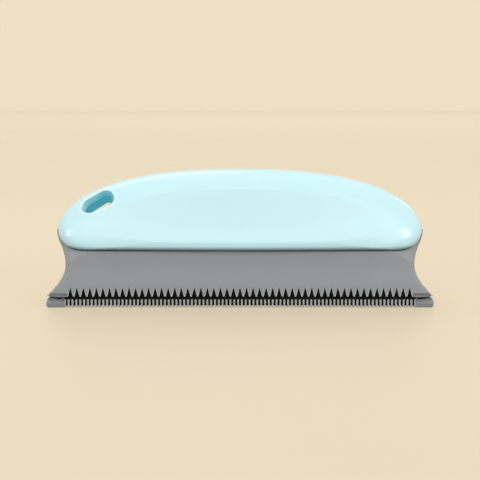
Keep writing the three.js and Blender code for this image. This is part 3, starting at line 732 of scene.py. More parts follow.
def chain(maker, loops):
    """Bands of faces from each loop to the next."""
    for first, second in zip(loops, loops[1:]):
        bridge(maker, first, second)


def cap(maker, loop, point):
    """A fan of faces from a loop to a point."""
    middle = maker.verts.new(point)
    for first, second in zip(loop, loop[1:] + loop[:1]):
        maker.faces.new((first, second, middle))


def stack(maker, rings):
    """A closed skin through rings of points, all of the same count."""
    loops = [[maker.verts.new(point) for point in ring] for ring in rings]
    chain(maker, loops)
    maker.faces.new(loops[0])
    maker.faces.new(loops[-1])


def lofted(name, rings):
    """A piece whose closed skin runs through rings of points."""
    maker = bmesh.new()
    stack(maker, rings)
    return closed_piece(name, maker)


def prism(name, corners, lift):
    """A straight prism: corners are its section's points, and lift carries one end to the other."""
    return lofted(name, [corners, [point + lift for point in corners]])


def rounded(start, knee, end):
    """Rows of points that turn from start to end round a knee."""
    rows = []
    for share in np.linspace(0, 1, ROUND_STEPS + 1)[1:]:
        rows.append((1 - share) ** 2 * start + 2 * share * (1 - share) * knee + share**2 * end)
    return rows


def clamped(value):
    """A value held between 0 and 1."""
    return min(1.0, max(0.0, value))


def signed(points, side):
    """Points (x, height, z) on the front or the rear half."""
    return [Vector((x, side * height, z)) for x, height, z in points]


class ShellMaker:
    """Builds one handle shell as a single closed skin."""

    def __init__(self, form, screw, side):
        self.form = form
        self.screw = screw
        self.side = side
        self.seam = form.seam_gap / 2
        self.maker = bmesh.new()
        self.slot_straight = (form.slot_length - form.slot_width) / 2
        # Painted layers: shade in the slot, a highlight round its mouth, and shade where the base turns
        # under.
        painted_layers = ("recess", "rim", "under")
        layers = self.maker.verts.layers.float
        for name in painted_layers:
            layers.new(name)
        self.recess, self.rim, self.under = (layers[name] for name in painted_layers)
        self.outer = Dome(form, 0, self.seam, OUTER_RINGS)
        self.inner = Dome(form, form.wall, self.seam, INNER_RINGS)

    def loops(self, rows):
        """A loop of vertices for each row of points."""
        return [loop_of(self.maker, signed(points, self.side)) for points in rows]

    def skin(self):
        """The outer dome, the seam flange and the inner dome."""
        form = self.form
        same_level = 0.01 * MM
        at_base = self.outer.edge[1] < form.bottom_z + same_level
        open_below = at_base & (np.abs(self.outer.edge[0]) < form.opening_half)
        stop = np.where(open_below, form.clamp_y, self.seam)
        outer_rows = self.outer.grid()
        outer_rows[-1][:, 1] = stop + form.seam_round
        inner_rows = self.inner.grid()
        inner_rows[-1][:, 1] = stop
        rounding = []
        for angle in np.linspace(0, math.pi / 2, ROUND_STEPS)[1:]:
            inset = form.seam_round * (1 - math.cos(angle))
            rise = stop + form.seam_round * (1 - math.sin(angle))
            x, z, _ = handle_outline(form, inset, EDGE_RUNS)
            rounding.append(np.stack([x, rise, z], axis=1))
        outer_loops = self.loops(outer_rows)
        # Painted shade on the outer skin, darkest at the base where it turns under.
        for vertex in (vertex for loop in outer_loops for vertex in loop):
            vertex[self.under] = max(0.0, 1 - (vertex.co.z - form.bottom_z) / form.base_shade)
        inner_loops = self.loops(inner_rows)
        chain(self.maker, outer_loops + self.loops(rounding) + inner_loops[::-1])
        cap(self.maker, outer_loops[0], self.outer.crest(self.side))
        cap(self.maker, inner_loops[0], self.inner.crest(self.side))
        return outer_loops, inner_loops

    def punch(self, dome, loops, near, rim_points):
        """Opens a dome where near says so, and sews the hole to a new loop of points (x, height, z)."""
        places = {}
        for ring, loop in enumerate(loops, 1):
            for step, vertex in enumerate(loop):
                if vertex.is_valid:
                    places[vertex] = (step, ring)
        spent = [vertex for vertex in places if near(vertex.co)]
        # Dictionaries keep their order, so that the hole is sewn up in the same way on each run.
        doomed = dict.fromkeys(face for vertex in spent for face in vertex.link_faces)
        edges = [edge for face in doomed for edge in face.edges]
        border = [edge for edge in edges if sum(face in doomed for face in edge.link_faces) == 1]
        bmesh.ops.delete(self.maker, geom=list(doomed), context="FACES")
        rim = loop_of(self.maker, signed(rim_points, self.side))
        for vertex, place_in_grid in zip(rim, dome.grid_place(rim_points[:, 0], rim_points[:, 2])):
            places[vertex] = tuple(place_in_grid)
        rim_edges = [edge for vertex in rim for edge in vertex.link_edges]
        joined = list(dict.fromkeys([edge for edge in border if edge.is_valid] + rim_edges))
        kept = {vertex: vertex.co.copy() for edge in joined for vertex in edge.verts}
        for vertex in kept:
            step, ring = places[vertex]
            vertex.co = (step, ring, 0)
        bmesh.ops.triangle_fill(
            self.maker, use_beauty=True, use_dissolve=False, edges=joined, normal=(0, 0, 1)
        )
        for vertex, co in kept.items():
            vertex.co = co
        return rim

    def slot_points(self, offset):
        """The slot's outline at the seam plane, set out by offset."""
        form = self.form
        radius = form.slot_width / 2
        straight = self.slot_straight
        half_turn = math.pi * radius
        side_run = 2 * straight
        reach = radius + offset
        places = []
        for travelled in np.linspace(0, 2 * (half_turn + side_run), SLOT_POINTS, endpoint=False):
            if travelled < half_turn:
                angle = travelled / radius - math.pi / 2
                centre = straight
            elif travelled < half_turn + side_run:
                angle = math.pi / 2
                centre = straight - (travelled - half_turn)
            elif travelled < 2 * half_turn + side_run:
                angle = (travelled - half_turn - side_run) / radius + math.pi / 2
                centre = -straight
            else:
                angle = 3 * math.pi / 2
                centre = -straight + (travelled - 2 * half_turn - side_run)
            places.append((centre + reach * math.cos(angle), reach * math.sin(angle)))
        along, across = np.array(places).T
        across = across * self.slot_spread(along)
        cos, sin = math.cos(form.slot_tilt), math.sin(form.slot_tilt)
        x = form.slot_x + along * cos - across * sin
        z = form.slot_z + along * sin + across * cos
        return x, z

    def slot_spread(self, along):
        """How much wider than its middle the slot is at a place along it."""
        return 1 + 2 * self.form.slot_taper * along / self.form.slot_length

    def slot_rise(self):
        """How fast the slot climbs towards this shell's face."""
        return -self.side * math.tan(self.form.slot_fall)

    def slot_at(self, offset, height):
        """The slot's outline at a height above the seam plane, for each point or for all."""
        x, z = self.slot_points(offset)
        height = np.broadcast_to(height, x.shape)
        return np.stack([x, height, z + self.slot_rise() * height], axis=1)

    def slot_on(self, dome, offset):
        """The slot's outline where it meets a dome."""
        x, z = self.slot_points(offset)
        return self.slot_at(offset, dome.pierced(x, z, self.slot_rise()))

    def slot_place(self, point):
        """Where a point lies along and across the slot, seen down its slope."""
        form = self.form
        cos, sin = math.cos(form.slot_tilt), math.sin(form.slot_tilt)
        x = point.x - form.slot_x
        z = point.z - self.slot_rise() * self.side * point.y - form.slot_z
        along = x * cos + z * sin
        return along, (z * cos - x * sin) / max(LEAST_SPREAD, self.slot_spread(along))

    def near_slot(self, margin):
        """Whether a point lies within margin of the slot."""

        def near(point):
            along, across = self.slot_place(point)
            beyond = max(0.0, abs(along) - self.slot_straight)
            return math.hypot(beyond, across) - self.form.slot_width / 2 < margin

        return near

    def hang_slot(self, outer_loops, inner_loops):
        """Rounded mouth, tunnel narrowing to the seam, and the sleeve round it."""
        form = self.form
        mouth = form.slot_draft + form.slot_rim
        start = self.slot_on(self.outer, mouth)
        knee = self.slot_on(self.outer, form.slot_draft)
        share = np.clip(1 - form.slot_rim / knee[:, 1], 0, 1)
        end = self.slot_at(form.slot_draft, knee[:, 1] * share)
        rim = self.punch(self.outer, outer_loops, self.near_slot(mouth + SLOT_MARGIN), start)
        rows = rounded(start, knee, end)
        for step in range(1, TUNNEL_STEPS + 1):
            left = 1 - step / TUNNEL_STEPS
            height = self.seam + (end[:, 1] - self.seam) * left
            rows.append(self.slot_at(form.slot_draft * (2 * left - 1), height))
        loops = [rim] + self.loops(rows)
        for index, loop in enumerate(loops):
            self.shade_slot(loop, index, len(loops) - 1)
        sleeve_foot = self.slot_at(form.slot_wall, self.seam)
        sleeve_top = self.slot_on(self.inner, form.slot_wall)
        foot = self.loops([sleeve_foot])[0]
        near = self.near_slot(form.slot_wall + SLOT_MARGIN)
        top = self.punch(self.inner, inner_loops, near, sleeve_top)
        chain(self.maker, loops + [foot, top])

    def shade_slot(self, loop, index, last):
        """Paints shade on one loop of the slot's wall, deepest at the seam, and a painted highlight round
        its mouth.
        """
        depth = clamped((index - SLOT_SHADE_LOOP) / (last - SLOT_SHADE_LOOP))
        for vertex in loop:
            along, across = self.slot_place(vertex.co)
            roof = clamped(0.5 + 2 * across / self.form.slot_width)
            head = clamped(2 * along / self.form.slot_length)
            if self.side == FRONT:
                vertex[self.recess] = (FRONT_SLOT_SHADE + HEAD_SLOT_SHADE * head) * depth
            else:
                vertex[self.recess] = (REAR_SLOT_SHADE + ROOF_SLOT_SHADE * roof) * min(1.0, REAR_SLOT_SHADE_RATE * depth)
            # Painted highlight, strongest just inside the mouth.
            vertex[self.rim] = max(0.0, 1 - abs(index - RIM_HIGHLIGHT_LOOP) / RIM_HIGHLIGHT_SPREAD)

    def ring_at(self, centre_x, radius, height):
        """A ring round a screw at a height above the seam plane, for each point or for all."""
        angle = np.linspace(0, math.tau, WELL_POINTS, endpoint=False)
        x = centre_x + radius * np.cos(angle)
        z = self.screw.level + radius * np.sin(angle)
        return np.stack([x, np.broadcast_to(height, x.shape), z], axis=1)

    def ring_on(self, dome, centre_x, radius):
        """A ring round a screw where it meets a dome."""
        flat = self.ring_at(centre_x, radius, 0)
        return self.ring_at(centre_x, radius, dome.height(flat[:, 0], flat[:, 2]))

    def near_screw(self, centre_x, margin):
        """Whether a point lies within margin of a screw's middle."""
        level = self.screw.level
        return lambda point: math.hypot(point.x - centre_x, point.z - level) < margin

    def boss(self, outer_loops, inner_loops, centre_x):
        """A screw boss: a through well in the rear shell, a blind pilot hole in the front one."""
        form = self.form
        screw = self.screw
        top_row = self.ring_on(self.inner, centre_x, screw.boss_radius)
        near = self.near_screw(centre_x, screw.boss_radius + BOSS_MARGIN)
        top = self.punch(self.inner, inner_loops, near, top_row)
        foot_rows = [
            self.ring_at(centre_x, screw.boss_radius, form.clamp_y),
            self.ring_at(centre_x, screw.hole_radius, form.clamp_y),
        ]
        if self.side == FRONT:
            tip = screw.length + form.seam_gap - screw.seat_y
            rows = foot_rows + [self.ring_at(centre_x, screw.hole_radius, tip)]
            loops = self.loops(rows)
            chain(self.maker, [top] + loops)
            cap(self.maker, loops[-1], Vector((centre_x, self.side * tip, screw.level)))
            return
        start = self.ring_on(self.outer, centre_x, screw.well_radius + screw.well_rim)
        knee = self.ring_on(self.outer, centre_x, screw.well_radius)
        end = knee - np.array([0, screw.well_rim, 0])
        near = self.near_screw(centre_x, screw.well_radius + screw.well_rim + BOSS_MARGIN)
        rim = self.punch(self.outer, outer_loops, near, start)
        rows = rounded(start, knee, end)
        rows.append(self.ring_at(centre_x, screw.well_radius, screw.seat_y))
        rows.append(self.ring_at(centre_x, screw.hole_radius, screw.seat_y))
        chain(self.maker, [rim] + self.loops(rows + foot_rows[::-1]) + [top])

    def build(self, name):
        """The finished shell as an object."""
        outer_loops, inner_loops = self.skin()
        self.hang_slot(outer_loops, inner_loops)
        for centre_x in screw_places(self.screw):
            self.boss(outer_loops, inner_loops, centre_x)
        return closed_piece(name, self.maker)


def screw_places(screw):
    """Places of the screws along the handle."""
    middle = (len(SCREW_NODES) - 1) / 2
    return [(index - middle) * screw.pitch for index in range(len(SCREW_NODES))]


def smoothstep(value, low, high):
    """0 below low, 1 above high, smooth between."""
    share = clamped((value - low) / (high - low))
    return share * share * (3 - 2 * share)


def mixed(low, high, share):
    """A share of the way from low to high."""
    return low + (high - low) * share


def curve(points, count):
    """Points along the smooth curve that control points draw."""
    made = []
    for share in np.linspace(0, 1, count):
        level = [np.array(point) for point in points]
        while len(level) > 1:
            level = [mixed(first, second, share) for first, second in zip(level, level[1:])]
        made.append(level[0])
    return made


def blade_ring(z, half, depth, corner_x, corner_y):
    """One level of the blade: a rectangle in plan with elliptical corners."""
    ring = []
    for quarter in range(4):
        side_x = 1 if quarter in (0, 3) else -1
        side_y = 1 if quarter < 2 else -1
        for step in range(BLADE_CORNER_STEPS + 1):
            angle = math.pi / 2 * (quarter + step / BLADE_CORNER_STEPS)
            x = side_x * (half - corner_x) + corner_x * math.cos(angle)
            y = side_y * (depth - corner_y) + corner_y * math.sin(angle)
            ring.append(Vector((x, y, z)))
    return ring


def lip_levels(form):
    """The lower lip with rounded ends and edges, and the groove above it."""
    half = form.lower_length / 2
    depth = form.lower_depth / 2
    corner = form.lip_corner
    edge = form.lower_edge
    levels = []
    for angle in np.linspace(0, math.pi / 2, LIP_STEPS):
        rise = form.lower_round * (1 - math.cos(angle))
        inset = form.lower_round * (1 - math.sin(angle))
        tuck = edge - math.sqrt(edge**2 - max(0.0, edge - rise) ** 2)
        levels.append((rise, half - inset, depth - tuck))
    top = form.lower_face
    rings = [blade_ring(rise, *size, corner, corner) for rise, *size in levels]
    rings += [blade_ring(top - rise, *size, corner, corner) for rise, *size in reversed(levels)]
    root = top - form.groove_drop
    for z in (root, root + form.groove_root):
        rings.append(blade_ring(z, half - form.groove_end, depth - form.groove_depth, corner, corner))
    return rings


def flare_levels(form):
    """From the upper lip's edge through the waist to the top of the end horns."""
    lip = form.upper_length / 2
    waist = form.waist_length / 2
    flare = []
    for share in np.linspace(0, 1, FLARE_STEPS):
        half = mixed(waist, lip, (1 - share) ** form.flare_power)
        flare.append((half, mixed(form.upper_z, form.waist_z, share)))
    rise = curve(
        [
            (waist, form.waist_z),
            (waist, form.saddle_z + form.waist_hold),
            (form.horn_half, form.saddle_z),
            (form.horn_half, form.horn_z),
        ],
        HORN_STEPS,
    )
    rings = []
    for half, z in flare + rise[1:]:
        lip_depth = mixed(form.upper_depth, form.waist_depth, smoothstep(z, form.plain_z, form.waist_z))
        low_depth = mixed(lip_depth, form.saddle_depth, smoothstep(z, form.waist_z, form.saddle_z))
        depth = mixed(low_depth, form.horn_depth, smoothstep(z, form.saddle_z, form.horn_z)) / 2
        corner = mixed(form.lip_corner, form.waist_corner, smoothstep(z, form.upper_z, form.waist_z))
        nose = smoothstep(z, form.nose_z, form.horn_z)
        corner_x = mixed(corner, form.horn_nose, nose)
        # Across the blade, the horns round twice as fast as along it.
        corner_y = min(depth, mixed(corner, form.saddle_depth / 2, 2 * nose))
        rings.append(blade_ring(z, half, depth, corner_x, corner_y))
    return rings


def handle_lump(form, clearance):
    """The whole handle as a lump, grown by a clearance."""
    dome = Dome(form, -clearance, 0.0, OUTER_RINGS)
    rows = dome.grid()
    maker = bmesh.new()
    edge = [maker.verts.new(point) for point in signed(rows[-1], FRONT)]
    for side in (FRONT, REAR):
        loops = [[maker.verts.new(point) for point in signed(row, side)] for row in rows[:-1]] + [edge]
        chain(maker, loops)
        cap(maker, loops[0], dome.crest(side))
    return closed_piece("handle_lump", maker)


def comb(name, outline, face, mouth, light_depth, depth):
    """A cutter for the front face and its mirror image for the rear.

    Its outline gives points (x, z). Its walls draw in by mouth just behind the face, and then run straight.
    """
    stations = [
        (face + OVERCUT, outline(0)),
        (face, outline(0)),
        (face - mouth, outline(mouth)),
        (face - light_depth, outline(mouth)),
        (face - depth, outline(mouth)),
    ]
    maker = bmesh.new()
    for side in (FRONT, REAR):
        stack(maker, [[(x, side * y, z) for x, z in points] for y, points in stations])
    return closed_piece(name, maker)


def coarse_count(form):
    """How many notches fit between the upper lip's plain ends."""
    return int((form.upper_length - 2 * form.coarse_plain) / form.coarse_pitch)


def fine_count(form):
    """How many slots fit between the lower lip's plain ends."""
    return int((form.lower_length - 2 * form.fine_plain) / form.fine_pitch)


def row_halves(form):
    """Half the length of the coarse row, and of the fine row."""
    return coarse_count(form) * form.coarse_pitch / 2, fine_count(form) * form.fine_pitch / 2


def coarse_comb(form):
    """The coarse row's notches as one saw-edged cutter for each face."""
    count = coarse_count(form)
    pitch = form.coarse_pitch
    narrow = form.coarse_top / 2
    clear_of_lip = 0.1 * MM
    least_rise = 0.05 * MM
    least_land = 0.005 * MM
    base = form.lower_face + clear_of_lip
    first = -(count - 1) / 2 * pitch

    def outline(drawn_in):
        apex = form.upper_z + form.coarse_height - drawn_in
        slope = ((pitch - form.coarse_tip) / 2 - drawn_in - narrow) / (form.coarse_height - drawn_in)
        valley = max(apex - (pitch / 2 - narrow) / slope, base + least_rise)
        land = max(pitch / 2 - narrow - (apex - valley) * slope, least_land)
        foot = narrow + (apex - base) * slope
        points = [(first - foot, base)]
        for index in range(count):
            x = first + index * pitch
            points.append((x - narrow, apex))
            points.append((x + narrow, apex))
            if index + 1 < count:
                points.append((x + pitch / 2 - land, valley))
                points.append((x + pitch / 2 + land, valley))
        points.append((-first + foot, base))
        return points

    face = form.upper_depth / 2
    return comb("coarse_comb", outline, face, form.coarse_mouth, form.light_depth, form.coarse_depth)


def fine_comb(form):
    """The fine row's slots as one comb for each face."""
    count = fine_count(form)
    first = -(count - 1) / 2 * form.fine_pitch
    end = first - form.fine_pitch
    below = -OVERCUT
    base = -2 * OVERCUT

    def outline(drawn_in):
        foot = form.fine_gap / 2 - drawn_in
        top = form.fine_gap_top / 2 - drawn_in
        points = [(end, base), (end, below)]
        for index in range(count):
            x = first + index * form.fine_pitch
            points.append((x - foot, below))
            points.append((x - top, form.fine_height))
            points.append((x + top, form.fine_height))
            points.append((x + foot, below))
        return points + [(-end, below), (-end, base)]

    face = form.lower_depth / 2
    return comb("fine_comb", outline, face, form.fine_mouth, form.light_depth, form.fine_depth)


def plain_end_cutter(name, section, near_x, far_x):
    """Cutters along both plain ends of a lip, on both faces, from the section's (y, z) for the rear."""
    maker = bmesh.new()
    for side_x in (-1, 1):
        for side_y in (-1, 1):
            near = [(side_x * near_x, side_y * y, z) for y, z in section]
            far = [(side_x * x, side_y * y, z) for x, (y, z) in zip(far_x, section)]
            stack(maker, [near, far])
    return closed_piece(name, maker)


def upper_bevels(form):
    """Bevel under the upper lip's plain ends, cut off at a slant before the tips."""
    face = form.upper_depth / 2
    ahead = face + OVERCUT
    back = face - form.bevel_depth
    top = form.upper_z + form.bevel_height
    land = form.upper_z - 0.25 * MM
    groove = form.upper_z - 0.6 * MM
    section = [(ahead, top), (face, top), (back, land), (back, groove), (ahead, groove)]
    tip_x = form.upper_length / 2
    far_x = [tip_x - form.bevel_depth] * 2 + [tip_x - form.bevel_tip] * 3
    return plain_end_cutter("upper_bevels", section, row_halves(form)[0], far_x)


def lower_chamfers(form):
    """Slope on top of the lower lip's plain ends."""
    face = form.lower_depth / 2
    ahead = face + OVERCUT
    back = face - form.chamfer_depth
    ridge = form.lower_face - form.groove_drop * form.chamfer_depth / form.groove_depth
    low = form.lower_face - form.chamfer_drop
    room_above = 0.55 * MM
    section = [
        (ahead, form.lower_face + room_above),
        (back, ridge + room_above),
        (back, ridge),
        (face, low),
        (ahead, low),
    ]
    near_x = row_halves(form)[1]
    past_the_tip = near_x + 20 * MM
    return plain_end_cutter("lower_chamfers", section, near_x, [past_the_tip] * len(section))


def channel(form):
    """The hollow under the blade."""
    past_the_tip = form.lower_length / 2 + 5 * MM
    foot = form.channel_width / 2
    top = form.channel_top / 2
    roof = form.channel_height
    section = [(-foot, -OVERCUT), (foot, -OVERCUT), (top, roof), (-top, roof)]
    corners = [Vector((-past_the_tip, y, z)) for y, z in section]
    return prism("channel", corners, Vector((2 * past_the_tip, 0, 0)))


def core_room(gap):
    """The space that the core's foot, web and tongue take up inside the rubber."""
    low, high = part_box("blade_core")
    foot_top = low.z + 3 * MM + gap
    web_half = 2 * MM + gap
    web_foot = foot_top - 0.5 * MM
    web_top = SHELL_LOW.z - 2.7 * MM + gap
    tongue_half = 56 * MM + gap
    tongue_foot = SHELL_LOW.z - 2.8 * MM
    steps = (
        (high.x + gap, high.y + gap, low.z - gap, foot_top),
        (high.x + gap, web_half, web_foot, web_top),
        (tongue_half, web_half, tongue_foot, high.z),
    )
    parts = []
    for half_x, half_y, foot, top in steps:
        corners = [Vector((side_x * half_x, side_y * half_y, foot)) for side_x, side_y in QUARTERS]
        parts.append(prism("core_room", corners, Vector((0, 0, top - foot))))
    room, *rest = parts
    for part in rest:
        carve(room, part, "UNION")
    return room


def paint_teeth_light_and_shade(piece, form):
    """Paints light on the flanks of both rows and on the upper lip's end bevels, and paints shade in the
    notches, the groove, on the lower lip's ends and under the handle.
    """
    coarse_half, fine_half = row_halves(form)
    split = form.lower_face + 0.2 * MM
    sole = 0.05 * MM
    top = form.upper_z + form.coarse_height + 0.1 * MM
    root = form.lower_depth / 2 - form.groove_depth - 0.5 * MM
    saddle_low = form.saddle_z - 1.5 * MM
    saddle_half = 68 * MM
    shade_run = 2.6 * MM
    end_shade_start = 3.5 * MM
    fine_shade_start = 0.2 * MM
    # Painted light on the bevels under the upper lip's plain ends.
    bevel_light = 0.25
    end_shade = 0.3
    # How much of a face's normal lies along an axis where the face counts as turned that way.
    level = 0.9
    upright = 0.95
    turned_sideways = 0.3
    turned_down = -0.3
    turned_forward = 0.2
    mesh = piece.data
    painted_light = mesh.attributes.new("painted_light", "FLOAT", "CORNER").data
    shade = mesh.attributes.new("shade", "FLOAT", "CORNER").data

    def paint(layer, face, front, tone):
        """Gives each corner of a face the tone for its distance behind the front."""
        for corner, index in zip(face.loop_indices, face.vertices):
            layer[corner].value = clamped(tone(front - abs(mesh.vertices[index].co.y)))

    for face in mesh.polygons:
        x, y, z = (abs(value) for value in face.center)
        across = abs(face.normal.y)
        upper = z > split
        front, half = (form.upper_depth / 2, coarse_half) if upper else (form.lower_depth / 2, fine_half)
        # Painted shade on the rubber under the handle, in the gap over the saddle.
        if z > saddle_low and x < saddle_half and face.normal.z > level:
            paint(shade, face, front, lambda depth: 1.0)
        if not sole < z < top or y < root:
            continue
        # Painted light on the flanks and walls of the notches, fading behind the front.
        if x < half and abs(face.normal.x) > turned_sideways and y > front - form.light_depth:
            paint(painted_light, face, front, lambda depth: 1 - depth / form.light_depth)
        if x > half and upper and turned_forward < across < upright and face.normal.z < turned_down:
            paint(painted_light, face, front, lambda depth: bevel_light)
        # Painted shade on the front of the lower lip's plain ends.
        if x > half and not upper and across > upright:
            paint(shade, face, front, lambda depth: end_shade)
        # Painted shade that deepens behind the front, in the notches and the groove.
        elif x < half or abs(face.normal.z) > level:
            start = end_shade_start if x > half else form.light_depth if upper else fine_shade_start
            paint(shade, face, front, lambda depth: (depth - start) / shade_run)


def pan_head_screw(form, centre_x, name):
    """A pan-head screw along Y with a cross recess in its head."""
    seat = form.seat_y + form.head_gap
    top = seat + form.head_height
    tip = seat - form.length
    edge = top - form.head_height / 2 - form.head_edge
    along = tip + 2 * form.radius
    profile = [(form.radius * form.tip_share, tip), (form.radius, along)]
    while along < seat - NECK_TURNS * form.thread_pitch:
        profile.append((form.radius * form.thread_root, along + form.thread_pitch * form.thread_lean))
        along += form.thread_pitch
        profile.append((form.radius, along))
    profile.append((form.radius, seat))
    profile.append((form.head_radius, seat))
    for angle in np.linspace(0, math.pi / 2, HEAD_STEPS):
        radius = form.head_radius * (form.head_flat + (1 - form.head_flat) * math.cos(angle))
        profile.append((radius, edge + (top - edge) * math.sin(angle)))
    angles = np.linspace(0, math.tau, WELL_POINTS, endpoint=False)
    turns = [(math.cos(angle), math.sin(angle)) for angle in angles]
    rings = []
    for radius, height in profile:
        rings.append([(centre_x + radius * cos, height, form.level + radius * sin) for cos, sin in turns])
    screw = lofted(name, rings)
    long = form.recess_length / 2
    wide = form.recess_width / 2
    foot = top - form.recess_depth
    for size_x, size_z in ((long, wide), (wide, long)):
        corners = []
        for side_x, side_z in QUARTERS:
            corners.append(Vector((centre_x + side_x * size_x, foot, form.level + side_z * size_z)))
        carve(screw, prism("recess", corners, Vector((0, form.recess_depth + OVERCUT, 0))))
    return screw


class LINT_OT_handle_shells(bpy.types.Operator):
    """Builds the front and rear handle shells"""

    bl_idname = "lint_remover.handle_shells"
    bl_label = "Handle Shells"

    def execute(self, context):
        remover = context.scene.lint_remover
        plastic = handle_plastic(remover.finish)
        for side, name in ((FRONT, "front"), (REAR, "rear")):
            shell = ShellMaker(remover.handle, remover.screw, side).build(f"handle_{name}_skin")
            smooth(shell, degrees=40)
            finish_piece(shell, plastic, "handle_blue", f"handle_{name}_shell")
        return {"FINISHED"}


class LINT_OT_rubber_blade(bpy.types.Operator):
    """Builds the rubber blade with its two rows of teeth"""

    bl_idname = "lint_remover.rubber_blade"
    bl_label = "Rubber Blade"

    def execute(self, context):
        remover = context.scene.lint_remover
        form = remover.blade
        blade = lofted("rubber_blade_skin", lip_levels(form) + flare_levels(form))
        cutters = (
            channel(form),
            core_room(form.fit_gap),
            upper_bevels(form),
            lower_chamfers(form),
            coarse_comb(form),
            fine_comb(form),
            handle_lump(remover.handle, form.fit_gap),
        )
        for cutter in cutters:
            carve(blade, cutter)
        clean(blade)
        paint_teeth_light_and_shade(blade, form)
        smooth(blade, degrees=30)
        finish_piece(blade, blade_rubber(remover.finish), "blade_grey", "rubber_blade")
        return {"FINISHED"}


class LINT_OT_shell_screws(bpy.types.Operator):
    """Builds the four pan-head screws"""

    bl_idname = "lint_remover.shell_screws"
    bl_label = "Shell Screws"

    def execute(self, context):
        remover = context.scene.lint_remover
        steel = screw_steel(remover.finish)
        for centre_x, node in zip(screw_places(remover.screw), SCREW_NODES):
            screw = pan_head_screw(remover.screw, centre_x, node.replace("shell", "steel"))
            smooth(screw, degrees=35)
            finish_piece(screw, steel, "screw_steel", node)
        return {"FINISHED"}


class LINT_OT_blade_core(bpy.types.Operator):
    """Gives the hidden core its finish"""

    bl_idname = "lint_remover.blade_core"
    bl_label = "Blade Core"

    def execute(self, context):
        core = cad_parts["blade_core"]
        core.data.materials.clear()
        core.data.materials.append(core_plastic(context.scene.lint_remover.finish))
        return {"FINISHED"}


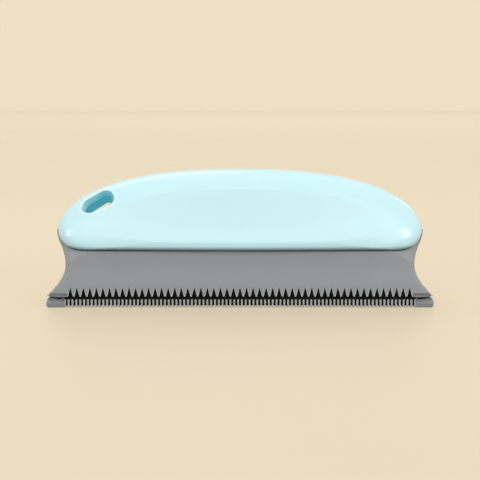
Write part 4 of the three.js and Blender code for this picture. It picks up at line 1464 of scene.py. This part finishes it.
class LINT_OT_stage(bpy.types.Operator):
    """Sets the floor, the soft light and the camera"""

    bl_idname = "lint_remover.stage"
    bl_label = "Stage"

    def execute(self, context):
        form = context.scene.lint_remover.stage
        self.lay_floor(form)
        self.light_world(context.scene, form)
        self.hang_lamps()
        self.aim_camera(context.scene, form)
        context.scene.view_settings.view_transform = "Standard"
        return {"FINISHED"}

    def lay_floor(self, form):
        """A round floor under the blade."""
        maker = bmesh.new()
        bmesh.ops.create_circle(maker, cap_ends=True, segments=FLOOR_POINTS, radius=FLOOR_RADIUS)
        floor = new_piece("floor", maker)
        floor.data.materials.append(floor_finish(form))

    def light_world(self, scene, form):
        """Even light all round, and a plain backdrop where it is looked at."""
        world = bpy.data.worlds.new("studio")
        scene.world = world
        finish = Finish(world)
        even = {"Color": (1, 1, 1, 1), "Strength": form.world_strength}
        shown = {"Color": opaque(form.backdrop), "Strength": 1.0}
        light = finish.node("ShaderNodeBackground", None, even)
        backdrop = finish.node("ShaderNodeBackground", None, shown)
        mixed_light = finish.node("ShaderNodeMixShader", None, {0: finish.seen(), 1: light, 2: backdrop})
        finish.node("ShaderNodeOutputWorld", None, {"Surface": mixed_light})

    def hang_lamps(self):
        """Softboxes and strips: name, place, aim, width, height, power and roll in degrees."""
        lamps = (
            ("key_softbox", (-0.10, -1.58, 0.62), (0, 0, 0.03), 3.40, 1.60, 16.6, 0),
            ("rear_softbox", (0.20, 2.90, 2.20), (0, 0, 0.03), 2.40, 2.40, 20.0, 0),
            ("left_softbox", (-0.765, -0.361, 0.285), (-0.08, -0.012, 0.036), 0.13, 0.26, 0.85, 0),
            ("right_softbox", (0.669, -0.492, 0.305), (0.078, -0.013, 0.036), 0.12, 0.27, 1.35, 0),
            ("low_strip", (0.598, -0.732, 0.175), (0.075, -0.013, 0.034), 0.48, 0.06, 0.25, 34),
            ("crown_strip", (-0.25, 0.30, 0.55), (-0.03, 0, 0.05), 0.60, 0.06, 0.5, 0),
            ("right_rear_strip", (0.52, 0.50, 0.42), (0.07, 0, 0.05), 0.06, 0.20, 0.15, 0),
        )
        for name, where, aim, width, height, power, roll in lamps:
            lamp = bpy.data.lights.new(name, "AREA")
            lamp.shape = "RECTANGLE"
            lamp.size = width
            lamp.size_y = height
            lamp.energy = power
            holder = bpy.data.objects.new(name, lamp)
            holder.location = where
            # The rear light only fills, because its streak along the crown would show from the front.
            holder.visible_glossy = name != "rear_softbox"
            facing = (Vector(aim) - Vector(where)).to_track_quat("-Z", "Y")
            holder.rotation_euler = (facing @ Quaternion((0, 0, 1), math.radians(roll))).to_euler()
            bpy.context.scene.collection.objects.link(holder)

    def aim_camera(self, scene, form):
        """The camera at the photograph's viewing angle."""
        camera = bpy.data.cameras.new("camera")
        camera.lens = camera.sensor_width / 2 / math.tan(form.camera_view / 2)
        camera.clip_start = 10 * MM
        holder = bpy.data.objects.new("camera", camera)
        aim = Vector((0, 0, form.camera_aim))
        back = Vector((0, -math.cos(form.camera_lift), math.sin(form.camera_lift)))
        holder.location = aim + back * form.camera_distance
        holder.rotation_euler = (-back).to_track_quat("-Z", "Y").to_euler()
        scene.collection.objects.link(holder)
        scene.camera = holder


class LINT_PT_dressing(bpy.types.Panel):
    """Lists the operators that build the lint remover"""

    bl_idname = "LINT_PT_dressing"
    bl_label = "Lint Remover"
    bl_space_type = "VIEW_3D"
    bl_region_type = "UI"
    bl_category = "Lint Remover"

    def draw(self, context):
        for operator in OPERATORS:
            self.layout.operator(operator.bl_idname)


OPERATORS = (
    LINT_OT_stage,
    LINT_OT_handle_shells,
    LINT_OT_rubber_blade,
    LINT_OT_shell_screws,
    LINT_OT_blade_core,
)
FORMS = (HandleForm, BladeForm, ScrewForm, RemoverFinish, StageForm, LintRemover)
CLASSES = (*FORMS, *OPERATORS, LINT_PT_dressing)


def register():
    for kind in CLASSES:
        bpy.utils.register_class(kind)
    bpy.types.Scene.lint_remover = PointerProperty(type=LintRemover)


def unregister():
    del bpy.types.Scene.lint_remover
    for kind in reversed(CLASSES):
        bpy.utils.unregister_class(kind)


def main():
    register()
    bpy.ops.lint_remover.stage()
    bpy.ops.lint_remover.handle_shells()
    bpy.ops.lint_remover.rubber_blade()
    bpy.ops.lint_remover.shell_screws()
    bpy.ops.lint_remover.blade_core()


if __name__ == "__main__":
    main()
